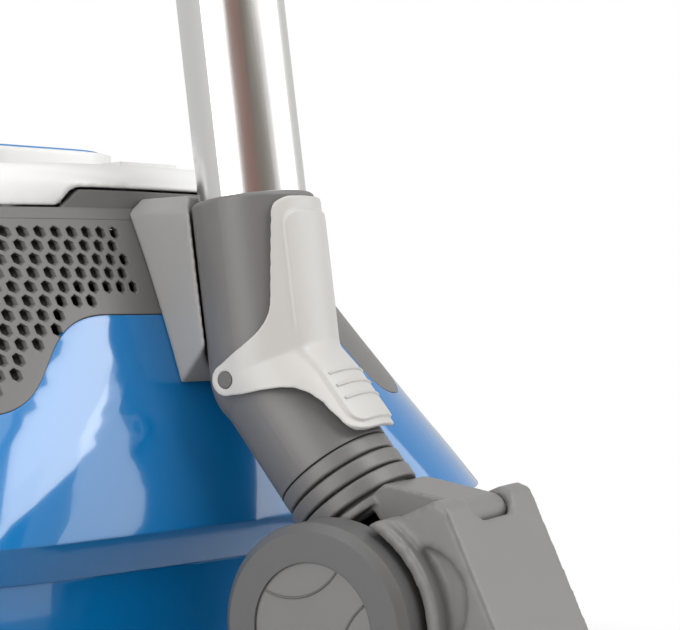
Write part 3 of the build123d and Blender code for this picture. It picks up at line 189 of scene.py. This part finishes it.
for name, low, high, color in (("warm_card", CARD_FROM, CARD_SPLIT, WARM_DARK),
                               ("grey_card", CARD_SPLIT, CARD_TO, GREY_DARK)):
    feet = [around(low, CARD_AWAY, CARD_FOOT), around(high, CARD_AWAY, CARD_FOOT)]
    heads = [around(high, CARD_AWAY, CARD_TOP), around(low, CARD_AWAY, CARD_TOP)]
    card = stage_sheet(name, feet + heads, color)
    card.visible_camera = False
print("floor and cards set")

# %% [markdown]
# Two upright soft boxes, a smaller one high on the right and a wide lamp overhead do the lighting. The world
# gives a low grey light, a little more in mirror images, and plain white only where the camera looks
# straight at it, so it doesn't wash out the images in the tube.

# %% Lamps and world
def soft_box(name, place, width, height, watts):
    lamp = bpy.data.lights.new(name, "AREA")
    lamp.shape = "RECTANGLE"
    lamp.size = width
    lamp.size_y = height
    lamp.energy = watts
    holder = bpy.data.objects.new(name, lamp)
    holder.location = place
    holder.rotation_euler = (bend - place).to_track_quat("-Z", "Y").to_euler()
    bpy.context.scene.collection.objects.link(holder)


AIR_LEVEL = 0.48
MIRRORED_SHARE = 0.3
soft_box("left_box", around(-40, 1.4, 0.75), width=0.95, height=1.5, watts=15.0)
soft_box("right_box", around(94, 1.5, 0.7), width=1.2, height=1.5, watts=11.5)
soft_box("high_box", around(60, 1.2, 1.5), width=0.85, height=0.85, watts=13.0)
soft_box("top_box", Vector((0.1, 0.2, 1.9)), width=1.6, height=1.6, watts=10.0)
world = bpy.data.worlds.new("studio_air")
world.use_nodes = True
air = world.node_tree
level = air.nodes.new("ShaderNodeMapRange")
level.inputs["To Min"].default_value = AIR_LEVEL
level.inputs["To Max"].default_value = 1.0
air.links.new(seen_directly(air, MIRRORED_SHARE), level.inputs["Value"])
background = air.nodes["Background"]
background.inputs["Color"].default_value = (1.0, 1.0, 1.0, 1.0)
air.links.new(level.outputs["Result"], background.inputs["Strength"])
bpy.context.scene.world = world
print("studio set")

# %% [markdown]
# ## Moulded plastics
# Most of the cleaner is injection-moulded plastic. Seen close, a matte moulding has a spark-eroded grain:
# fine bumps about a third of a millimetre across, and a slightly uneven sheen. A noise texture on Object
# coordinates gives both, a small bump for the grain and a small swing of the roughness for the sheen. No
# moulding has a knife edge, so a Bevel node turns the shading over along every edge.

# %% Plastic finishes
COAT_ROUGHNESS = 0.04
CLOUD_SCALE = 55.0
GRAIN_DEPTH = 0.0001


def moulded_plastic(name, color, roughness, grain=0.0, grain_size=0.00035, coat=0.0, sway=0.04,
                    rounding=0.0006):
    """A moulded finish; the grain's size and the rounding of edges are in metres."""
    finish = bpy.data.materials.new(name)
    finish.use_nodes = True
    tree = finish.node_tree
    shader = tree.nodes["Principled BSDF"]
    shader.inputs["Coat Weight"].default_value = coat
    shader.inputs["Coat Roughness"].default_value = COAT_ROUGHNESS
    where = tree.nodes.new("ShaderNodeTexCoord")
    cloud = tree.nodes.new("ShaderNodeTexNoise")
    cloud.inputs["Scale"].default_value = CLOUD_SCALE
    cloud.inputs["Detail"].default_value = 3.0
    tree.links.new(where.outputs["Object"], cloud.inputs["Vector"])
    tint = tree.nodes.new("ShaderNodeMapRange")
    tint.inputs["To Min"].default_value = 1.0 - sway
    tint.inputs["To Max"].default_value = 1.0 + sway
    tree.links.new(cloud.outputs["Fac"], tint.inputs["Value"])
    paint = tree.nodes.new("ShaderNodeVectorMath")
    paint.operation = "SCALE"
    paint.inputs[0].default_value = color
    tree.links.new(tint.outputs["Result"], paint.inputs["Scale"])
    tree.links.new(paint.outputs["Vector"], shader.inputs["Base Color"])
    sheen = tree.nodes.new("ShaderNodeMapRange")
    sheen.inputs["To Min"].default_value = roughness * (1.0 - 2 * sway)
    sheen.inputs["To Max"].default_value = roughness * (1.0 + 2 * sway)
    tree.links.new(cloud.outputs["Fac"], sheen.inputs["Value"])
    tree.links.new(sheen.outputs["Result"], shader.inputs["Roughness"])
    edge = tree.nodes.new("ShaderNodeBevel")
    edge.samples = 4
    edge.inputs["Radius"].default_value = rounding
    tree.links.new(edge.outputs["Normal"], shader.inputs["Normal"])
    if grain > 0.0:
        pits = tree.nodes.new("ShaderNodeTexNoise")
        pits.inputs["Scale"].default_value = 1.0 / grain_size
        pits.inputs["Detail"].default_value = 2.0
        tree.links.new(where.outputs["Object"], pits.inputs["Vector"])
        bump = tree.nodes.new("ShaderNodeBump")
        bump.inputs["Strength"].default_value = grain
        bump.inputs["Distance"].default_value = GRAIN_DEPTH
        tree.links.new(pits.outputs["Fac"], bump.inputs["Height"])
        tree.links.new(edge.outputs["Normal"], bump.inputs["Normal"])
        tree.links.new(bump.outputs["Normal"], shader.inputs["Normal"])
    return finish


blue_shell = moulded_plastic("blue_shell", (0.0015, 0.155, 0.42), 0.12, coat=0.8, sway=0.015,
                             rounding=0.0012)
insert_blue = moulded_plastic("insert_blue", (0.01, 0.2, 0.5), 0.2, coat=0.3, sway=0.02)
white_cover = moulded_plastic("white_cover", (0.7, 0.7, 0.69), 0.28, coat=0.2, sway=0.015)
dark_plastic = moulded_plastic("dark_plastic", (0.135, 0.131, 0.128), 0.4, grain=0.3)
dock_plastic = moulded_plastic("dock_plastic", (0.28, 0.276, 0.272), 0.4, grain=0.2)
head_plastic = moulded_plastic("head_plastic", (0.165, 0.163, 0.16), 0.4, grain=0.35)
light_plastic = moulded_plastic("light_plastic", (0.47, 0.46, 0.44), 0.38, grain=0.12, sway=0.02)
inner_plastic = moulded_plastic("inner_plastic", (0.035, 0.035, 0.036), 0.55, grain=0.3)
pin_plastic = moulded_plastic("pin_plastic", (0.11, 0.105, 0.1), 0.4, grain=0.2)
tyre_rubber = moulded_plastic("tyre_rubber", (0.095, 0.094, 0.094), 0.38, grain=0.5, grain_size=0.0005)
soft_rubber = moulded_plastic("soft_rubber", (0.03, 0.03, 0.031), 0.65, grain=0.4, grain_size=0.0005)
print("plastics ready")

# %% [markdown]
# ## Steel
# The wand is a drawn steel tube, polished lengthwise. Its mirror images smear a little across the tube, and
# hairline streaks run along it. A noise texture that is stretched along the tube gives the streaks: it moves
# the roughness and a very small bump. The motor's iron and the felt of the filters get finishes of their own.

# %% Steel, iron and felt
STREAK_STRETCH = 60.0
HAIR_SCALE = 1500.0
HAIR_BUMP, HAIR_DEPTH = 0.12, 0.00005


def streaked_steel(name, color, roughness, turn, streak):
    """Polished metal with hairlines along the local Z that a turn gives; streak swings the roughness."""
    finish = bpy.data.materials.new(name)
    finish.use_nodes = True
    tree = finish.node_tree
    shader = tree.nodes["Principled BSDF"]
    shader.inputs["Metallic"].default_value = 1.0
    shader.inputs["Base Color"].default_value = (*color, 1.0)
    where = tree.nodes.new("ShaderNodeTexCoord")
    line_up = tree.nodes.new("ShaderNodeMapping")
    line_up.vector_type = "TEXTURE"
    line_up.inputs["Rotation"].default_value = turn
    line_up.inputs["Scale"].default_value = (1.0, 1.0, STREAK_STRETCH)
    tree.links.new(where.outputs["Object"], line_up.inputs["Vector"])
    hairs = tree.nodes.new("ShaderNodeTexNoise")
    hairs.inputs["Scale"].default_value = HAIR_SCALE
    hairs.inputs["Detail"].default_value = 3.0
    tree.links.new(line_up.outputs["Vector"], hairs.inputs["Vector"])
    sheen = tree.nodes.new("ShaderNodeMapRange")
    sheen.inputs["To Min"].default_value = roughness - streak
    sheen.inputs["To Max"].default_value = roughness + streak
    tree.links.new(hairs.outputs["Fac"], sheen.inputs["Value"])
    tree.links.new(sheen.outputs["Result"], shader.inputs["Roughness"])
    bump = tree.nodes.new("ShaderNodeBump")
    bump.inputs["Strength"].default_value = HAIR_BUMP
    bump.inputs["Distance"].default_value = HAIR_DEPTH
    tree.links.new(hairs.outputs["Fac"], bump.inputs["Height"])
    tree.links.new(bump.outputs["Normal"], shader.inputs["Normal"])
    return finish


TUBE_LEAN = radians(7.7)
PARK_TURN = radians(16.0)
tube_turn = (TUBE_LEAN, 0, PARK_TURN)
tube_steel = streaked_steel("tube_steel", (0.8, 0.795, 0.785), 0.24, turn=tube_turn, streak=0.05)
pin_steel = streaked_steel("pin_steel", (0.6, 0.6, 0.6), 0.32, turn=(0, 0, 0), streak=0.08)
motor_iron = moulded_plastic("motor_iron", (0.09, 0.085, 0.08), 0.6, grain=0.5, grain_size=0.0008)
filter_fabric = moulded_plastic("filter_fabric", (0.045, 0.044, 0.042), 0.9, grain=0.8, grain_size=0.0012,
                                sway=0.1)
lint_fabric = moulded_plastic("lint_fabric", (0.3, 0.02, 0.02), 0.9, grain=0.8, grain_size=0.0008, sway=0.15)
finishes = {
    "blue_shell": blue_shell, "insert_blue": insert_blue, "white_cover": white_cover,
    "dark_plastic": dark_plastic, "dock_plastic": dock_plastic, "head_plastic": head_plastic,
    "light_plastic": light_plastic, "inner_plastic": inner_plastic, "pin_plastic": pin_plastic,
    "tyre_rubber": tyre_rubber, "soft_rubber": soft_rubber, "tube_steel": tube_steel, "pin_steel": pin_steel,
    "motor_iron": motor_iron, "filter_fabric": filter_fabric, "lint_fabric": lint_fabric,
}
slot_of = {row["node"]: row["material_slot"] for row in frame["record"]["subparts"]}
for name, thing in nodes.items():
    for place in thing.material_slots:
        place.material = finishes[slot_of[name]]
print("finishes given to", len(nodes), "nodes")

# %% [markdown]
# ## How it is parked
# The axes of the wand and the floor head are set by the way it is parked: turned by 16 degrees, the tube
# leaning forward by 7.7 degrees, the lower section 39 degrees from upright, and the floor head tilted by 25
# degrees. With these as matrices, every detail below is written in the upright pose of its own part.

# %% Axes
LOWER_ANGLE = radians(39.0)
HEAD_TILT = radians(25.0)
HEAD_Y, HEAD_DROP = 0.041, 0.071
parked = Matrix.Translation(bend) @ Matrix.Rotation(PARK_TURN, 4, "Z")
upper_axis = parked @ Matrix.Rotation(TUBE_LEAN, 4, "X")
lower_axis = parked @ Matrix.Rotation(pi + LOWER_ANGLE, 4, "X")
head_axis = parked @ Matrix.Translation((0, HEAD_Y, -HEAD_DROP)) @ Matrix.Rotation(HEAD_TILT - pi / 2, 4, "X")
print("elbow bend at", tuple(bend))

# %% [markdown]
# ## Rounded mouldings
# The lever, the dock, the neck, the hood, the cover and the handle are thick mouldings with generous radii on
# every edge. The solids carry their form with crisp edges. A voxel remesh of a copy followed by a few passes
# of smoothing rolls every edge over by a voxel or two, the way a mould maker's radius does, and leaves wide
# flat and round faces nearly where they are. The lever runs over the elbow's bend in one soft curve, so there
# the copy is eased a little more. Each result stands for its solid on the same body.

# %% Rounded pieces
def plain_piece(name, mesh, slot_name, body):
    """A finished mesh at the origin that rides on a body and takes a finish."""
    piece = bpy.data.objects.new(name, mesh)
    bpy.context.scene.collection.objects.link(piece)
    mesh.materials.clear()
    mesh.materials.append(finishes[slot_name])
    for face in mesh.polygons:
        face.use_smooth = True
        face.material_index = 0
    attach(piece, body)
    return piece


def settled(holder):
    """The evaluated mesh of an object with modifiers, after which the object is removed."""
    graph = bpy.context.evaluated_depsgraph_get()
    mesh = bpy.data.meshes.new_from_object(holder.evaluated_get(graph))
    bpy.data.objects.remove(holder)
    return mesh


def with_modifiers(name, mesh, *steps):
    """A mesh after a row of modifiers, each given as its kind and its settings."""
    holder = bpy.data.objects.new(name, mesh)
    bpy.context.scene.collection.objects.link(holder)
    for kind, settings in steps:
        modifier = holder.modifiers.new(kind.lower(), kind)
        for key, value in settings.items():
            setattr(modifier, key, value)
    return settled(holder)


EASE_PASSES = 60
EASE_REACH = 0.009
EASE_SIDE = 0.0115
EASE_FADE = 0.004
EASE_PULL = 0.7
ROLL = 0.5
MERGE = 1e-6


def ease(mesh, weight_of, passes):
    """Draw every vertex towards the middle of its neighbours, by its own weight."""
    work = bmesh.new()
    work.from_mesh(mesh)
    weights = [(vertex, weight_of(vertex.co)) for vertex in work.verts]
    soft = [(vertex, weight, [edge.other_vert(vertex) for edge in vertex.link_edges])
            for vertex, weight in weights if weight > 0.0]
    for step in range(passes):
        moves = [(sum((other.co for other in others), Vector()) / len(others) - vertex.co) * weight
                 for vertex, weight, others in soft]
        for (vertex, weight, others), move in zip(soft, moves):
            vertex.co += move
    work.to_mesh(mesh)
    work.free()


def moulded(node, voxel, passes, share, eased=None):
    """A copy of a solid with rolled edges; share is the part of its faces that is kept."""
    copy = nodes[node].data.copy()
    merge = bmesh.new()
    merge.from_mesh(copy)
    bmesh.ops.remove_doubles(merge, verts=merge.verts, dist=MERGE)
    merge.to_mesh(copy)
    merge.free()
    mesh = with_modifiers(node + "_copy", copy, ("REMESH", {"mode": "VOXEL", "voxel_size": voxel}),
                          ("SMOOTH", {"factor": ROLL, "iterations": passes}))
    if eased:
        ease(mesh, eased, EASE_PASSES)
    mesh = with_modifiers(node + "_thin", mesh, ("DECIMATE", {"ratio": share}))
    body = body_of(nodes[node])[0]
    piece = plain_piece(node + "_form", mesh, slot_of[node], body)
    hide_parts(node)
    print(node, "faces:", len(mesh.polygons))


into_parked = parked.inverted()
half_turn = Matrix.Rotation(-(TUBE_LEAN + LOWER_ANGLE) / 2, 3, "X")


def near_bend(spot):
    """The pull on a spot: strongest on the crease of the lever's panel, falling to nought around it."""
    local = into_parked @ spot
    along = abs((half_turn @ local).z) / EASE_REACH
    aside = max(abs(local.x) - EASE_SIDE, 0.0) / EASE_FADE
    return max(1.0 - along, 0.0) * max(1.0 - aside, 0.0) * EASE_PULL


moulded("release_lever", voxel=0.0003, passes=9, share=0.2, eased=near_bend)
moulded("parking_dock", voxel=0.0007, passes=8, share=0.35)
moulded("neck", voxel=0.0005, passes=6, share=0.35)
moulded("head_hood", voxel=0.0009, passes=8, share=0.3)
moulded("top_cover", voxel=0.0011, passes=8, share=0.35)
moulded("carry_handle", voxel=0.0008, passes=8, share=0.35)

# %% [markdown]
# ## Repeated details
# Grip ribs, scale marks and tyre ribs are one small bar, repeated. A Geometry Nodes tree puts a number of
# points on a circle or in a row, turns each one to face outwards, and sets a round bar on it. Its sizes are
# inputs, so one recipe serves every place. A second recipe does the same with an arc instead of a bar.

# %% Trees for repeated bars and arcs
def new_tree(name, inputs):
    tree = bpy.data.node_groups.new(name, "GeometryNodeTree")
    for label, kind in inputs:
        tree.interface.new_socket(label, in_out="INPUT", socket_type=kind)
    tree.interface.new_socket("Geometry", in_out="OUTPUT", socket_type="NodeSocketGeometry")
    return tree, tree.nodes.new("NodeGroupInput"), tree.nodes.new("NodeGroupOutput")


def repeat_along(tree, given, finish, shape, out):
    """Set a shape on points that step round a circle and along a row, and make it real."""
    points = tree.nodes.new("GeometryNodePoints")
    order = tree.nodes.new("GeometryNodeInputIndex")
    turn = tree.nodes.new("ShaderNodeMath")
    turn.operation = "MULTIPLY_ADD"
    tree.links.new(order.outputs["Index"], turn.inputs[0])
    tree.links.new(given.outputs["Angle Step"], turn.inputs[1])
    tree.links.new(given.outputs["First Angle"], turn.inputs[2])
    euler = tree.nodes.new("ShaderNodeCombineXYZ")
    tree.links.new(turn.outputs[0], euler.inputs["Z"])
    rotation = tree.nodes.new("FunctionNodeEulerToRotation")
    tree.links.new(euler.outputs["Vector"], rotation.inputs["Euler"])
    reach = tree.nodes.new("ShaderNodeCombineXYZ")
    tree.links.new(given.outputs["Radius"], reach.inputs["X"])
    spin = tree.nodes.new("FunctionNodeRotateVector")
    tree.links.new(reach.outputs["Vector"], spin.inputs["Vector"])
    tree.links.new(rotation.outputs["Rotation"], spin.inputs["Rotation"])
    row = tree.nodes.new("ShaderNodeVectorMath")
    row.operation = "SCALE"
    tree.links.new(given.outputs["Row Step"], row.inputs[0])
    tree.links.new(order.outputs["Index"], row.inputs["Scale"])
    place = tree.nodes.new("ShaderNodeVectorMath")
    place.operation = "ADD"
    tree.links.new(spin.outputs["Vector"], place.inputs[0])
    tree.links.new(row.outputs["Vector"], place.inputs[1])
    tree.links.new(given.outputs["Count"], points.inputs["Count"])
    tree.links.new(place.outputs["Vector"], points.inputs["Position"])
    each = tree.nodes.new("GeometryNodeInstanceOnPoints")
    tree.links.new(points.outputs["Points"], each.inputs["Points"])
    tree.links.new(rotation.outputs["Rotation"], each.inputs["Rotation"])
    tree.links.new(shape, each.inputs["Instance"])
    real = tree.nodes.new("GeometryNodeRealizeInstances")
    tree.links.new(each.outputs["Instances"], real.inputs["Geometry"])
    paint = tree.nodes.new("GeometryNodeSetMaterial")
    paint.inputs["Material"].default_value = finish
    tree.links.new(real.outputs["Geometry"], paint.inputs["Geometry"])
    tree.links.new(paint.outputs["Geometry"], out.inputs["Geometry"])


def swept(tree, given, curve):
    """A round bar along a curve."""
    profile = tree.nodes.new("GeometryNodeCurvePrimitiveCircle")
    profile.inputs["Resolution"].default_value = 10
    tree.links.new(given.outputs["Bar Radius"], profile.inputs["Radius"])
    bar = tree.nodes.new("GeometryNodeCurveToMesh")
    bar.inputs["Fill Caps"].default_value = True
    tree.links.new(curve, bar.inputs["Curve"])
    tree.links.new(profile.outputs["Curve"], bar.inputs["Profile Curve"])
    return bar.outputs["Mesh"]


COMMON = [("Count", "NodeSocketInt"), ("Radius", "NodeSocketFloat"), ("First Angle", "NodeSocketFloat"),
          ("Angle Step", "NodeSocketFloat"), ("Row Step", "NodeSocketVector"),
          ("Bar Radius", "NodeSocketFloat")]


def bar_tree(finish):
    ends = [("From", "NodeSocketVector"), ("To", "NodeSocketVector")]
    tree, given, out = new_tree("repeated_bar", COMMON + ends)
    line = tree.nodes.new("GeometryNodeCurvePrimitiveLine")
    tree.links.new(given.outputs["From"], line.inputs["Start"])
    tree.links.new(given.outputs["To"], line.inputs["End"])
    repeat_along(tree, given, finish, swept(tree, given, line.outputs["Curve"]), out)
    return tree


def arc_tree(finish):
    bow = [(label, "NodeSocketFloat") for label in ("Arc Radius", "Arc Start", "Arc Sweep")]
    tree, given, out = new_tree("repeated_arc", COMMON + bow)
    arc = tree.nodes.new("GeometryNodeCurveArc")
    arc.inputs["Resolution"].default_value = 48
    tree.links.new(given.outputs["Arc Radius"], arc.inputs["Radius"])
    tree.links.new(given.outputs["Arc Start"], arc.inputs["Start Angle"])
    tree.links.new(given.outputs["Arc Sweep"], arc.inputs["Sweep Angle"])
    repeat_along(tree, given, finish, swept(tree, given, arc.outputs["Curve"]), out)
    return tree


def repeated(name, maker, slot_name, body, place, **sizes):
    """Run a tree with its sizes, put the result in place and let it ride on a body."""
    tree = maker(finishes[slot_name])
    holder = bpy.data.objects.new(name + "_source", bpy.data.meshes.new(name + "_source"))
    bpy.context.scene.collection.objects.link(holder)
    modifier = holder.modifiers.new("repeat", "NODES")
    modifier.node_group = tree
    for socket in tree.interface.items_tree:
        if socket.in_out == "INPUT":
            modifier[socket.identifier] = sizes[socket.name.lower().replace(" ", "_")]
    mesh = settled(holder)
    mesh.transform(place)
    if place.determinant() < 0:
        mesh.flip_normals()
    print(name, "faces:", len(mesh.polygons))
    plain_piece(name, mesh, slot_name, body)


# %% [markdown]
# Three short ribs keep the finger from slipping off the lever's tab, and the wheel covers of the floor head
# carry three moulded arcs each.

# %% Ribs on the lever's tab, arcs on the wheel hubs
AT_REST = (0.0, 0.0, 0.0)
TAB_FACE = 0.0243
RIB_HALF = radians(24.5)
FIRST_RIB, RIB_STEP = 0.0162, 0.0047
repeated("lever_ribs", arc_tree, "light_plastic", "lever", lower_axis @ Matrix.Translation((0, 0, FIRST_RIB)),
         count=3, radius=0.0, first_angle=0.0, angle_step=0.0, row_step=(0.0, 0.0, RIB_STEP),
         bar_radius=0.0005, arc_radius=TAB_FACE, arc_start=-pi / 2 - RIB_HALF, arc_sweep=2 * RIB_HALF)
HUB_FACE = 0.0412
ARC_AWAY, ARC_RADIUS, ARC_HALF, ARC_TURN = 0.0301, 0.02, radians(38.5), radians(172.0)
wheel_axes = Matrix(((0, 0, 1, 0), (1, 0, 0, 0), (0, 1, 0, 0), (0, 0, 0, 1)))
for side, body in ((1, "head_wheel_right"), (-1, "head_wheel_left")):
    face = head_axis @ Matrix.Scale(side, 4, (1, 0, 0)) @ wheel_axes @ Matrix.Translation((0, 0, HUB_FACE))
    repeated(body + "_arcs", arc_tree, "pin_plastic", body, face, count=3, radius=ARC_AWAY,
             first_angle=ARC_TURN, angle_step=2 * pi / 3, row_step=AT_REST, bar_radius=0.0004,
             arc_radius=ARC_RADIUS, arc_start=pi - ARC_HALF, arc_sweep=2 * ARC_HALF)

# %% [markdown]
# ## Grips and marks
# A telescopic wand is adjusted with one hand, so its collar is ribbed lengthwise and the end ferrule has grip
# rings. The dial on the control panel has raised scale marks round it. The big wheels have a ribbed side
# wall, the way a rubber tyre is moulded over a hub, and short spokes in the hub's groove. All of them come
# from the same two recipes.

# %% Collar, ferrule, dial and rear wheels
COLLAR_LOW, COLLAR_FACE = 0.394, 0.0225
FERRULE_LOW, FERRULE_FACE, RING_STEP = 0.506, 0.0195, 0.005
GRIP_BAR = 0.0008
repeated("collar_ribs", bar_tree, "dark_plastic", "wand", upper_axis @ Matrix.Translation((0, 0, COLLAR_LOW)),
         count=15, radius=COLLAR_FACE, first_angle=radians(130), angle_step=radians(20), row_step=AT_REST,
         bar_radius=GRIP_BAR, **{"from": (0.0, 0.0, 0.008), "to": (0.0, 0.0, 0.044)})
ferrule_place = upper_axis @ Matrix.Translation((0, 0, FERRULE_LOW))
repeated("ferrule_rings", arc_tree, "dark_plastic", "inner_wand", ferrule_place, count=5, radius=0.0,
         first_angle=0.0, angle_step=0.0, row_step=(0.0, 0.0, RING_STEP), bar_radius=GRIP_BAR,
         arc_radius=FERRULE_FACE, arc_start=0.0, arc_sweep=2 * pi)
dial_place = Matrix.Translation(joint_of["dial_turn"]["pos_m"])
repeated("dial_marks", bar_tree, "dark_plastic", "canister", dial_place, count=11, radius=0.0145,
         first_angle=radians(-45), angle_step=radians(27), row_step=AT_REST, bar_radius=0.00035,
         **{"from": (0.0, 0.0, 0.0), "to": (0.0022, 0.0, 0.0)})
WHEEL_FACE, SIDE_LOW, SIDE_HIGH = 0.026, 0.0385, 0.0415
GROOVE, SPOKE_LOW, SPOKE_HIGH = 0.0235, 0.0242, 0.0288
for side, body in ((1, "rear_wheel_right"), (-1, "rear_wheel_left")):
    centre = Matrix.Translation(joint_of[body + "_roll"]["pos_m"])
    hub = centre @ Matrix.Scale(side, 4, (1, 0, 0)) @ wheel_axes
    repeated(body + "_ribs", bar_tree, "tyre_rubber", body, hub, count=48, radius=0.0, first_angle=0.0,
             angle_step=2 * pi / 48, row_step=AT_REST, bar_radius=0.0006,
             **{"from": (SIDE_LOW, 0.0, WHEEL_FACE), "to": (SIDE_HIGH, 0.0, WHEEL_FACE)})
    repeated(body + "_spokes", bar_tree, slot_of["wheel_hub_right"], body, hub, count=10, radius=0.0,
             first_angle=0.0, angle_step=2 * pi / 10, row_step=AT_REST, bar_radius=0.0012,
             **{"from": (SPOKE_LOW, 0.0, GROOVE), "to": (SPOKE_HIGH, 0.0, GROOVE)})

# %% [markdown]
# ## Lint strips
# The red strips beside the suction slot are a short velvet that picks up hair. A third recipe scatters
# points over a grid the size of a strip, with a fixed seed, and sets a tiny four-sided hair on each.

# %% Pile of the lint strips
def pile_tree(finish):
    tree, given, out = new_tree("pile", [
        ("Length", "NodeSocketFloat"), ("Width", "NodeSocketFloat"), ("Density", "NodeSocketFloat"),
        ("Hair Radius", "NodeSocketFloat"), ("Hair Length", "NodeSocketFloat"), ("Seed", "NodeSocketInt")])
    grid = tree.nodes.new("GeometryNodeMeshGrid")
    tree.links.new(given.outputs["Length"], grid.inputs["Size X"])
    tree.links.new(given.outputs["Width"], grid.inputs["Size Y"])
    scatter = tree.nodes.new("GeometryNodeDistributePointsOnFaces")
    tree.links.new(grid.outputs["Mesh"], scatter.inputs["Mesh"])
    tree.links.new(given.outputs["Density"], scatter.inputs["Density"])
    tree.links.new(given.outputs["Seed"], scatter.inputs["Seed"])
    hair = tree.nodes.new("GeometryNodeMeshCone")
    hair.inputs["Vertices"].default_value = 4
    tree.links.new(given.outputs["Hair Radius"], hair.inputs["Radius Bottom"])
    tree.links.new(given.outputs["Hair Length"], hair.inputs["Depth"])
    each = tree.nodes.new("GeometryNodeInstanceOnPoints")
    tree.links.new(scatter.outputs["Points"], each.inputs["Points"])
    tree.links.new(hair.outputs["Mesh"], each.inputs["Instance"])
    real = tree.nodes.new("GeometryNodeRealizeInstances")
    tree.links.new(each.outputs["Instances"], real.inputs["Geometry"])
    paint = tree.nodes.new("GeometryNodeSetMaterial")
    paint.inputs["Material"].default_value = finish
    tree.links.new(real.outputs["Geometry"], paint.inputs["Geometry"])
    tree.links.new(paint.outputs["Geometry"], out.inputs["Geometry"])
    return tree


STRIP_MID, STRIP_AWAY, STRIP_FACE = 0.0718, 0.012, -0.0308
STRIP_LENGTH, STRIP_WIDTH, PILE_DENSITY = 0.23, 0.0056, 1.0e6
for side, name in ((-1, "rear"), (1, "front")):
    place = Matrix.Translation((0, STRIP_MID + side * STRIP_AWAY, STRIP_FACE)) @ Matrix.Rotation(pi, 4, "X")
    repeated("lint_pile_" + name, pile_tree, "lint_fabric", "head", head_axis @ place, length=STRIP_LENGTH,
             width=STRIP_WIDTH, density=PILE_DENSITY, hair_radius=0.0003, hair_length=0.0006, seed=7 + side)
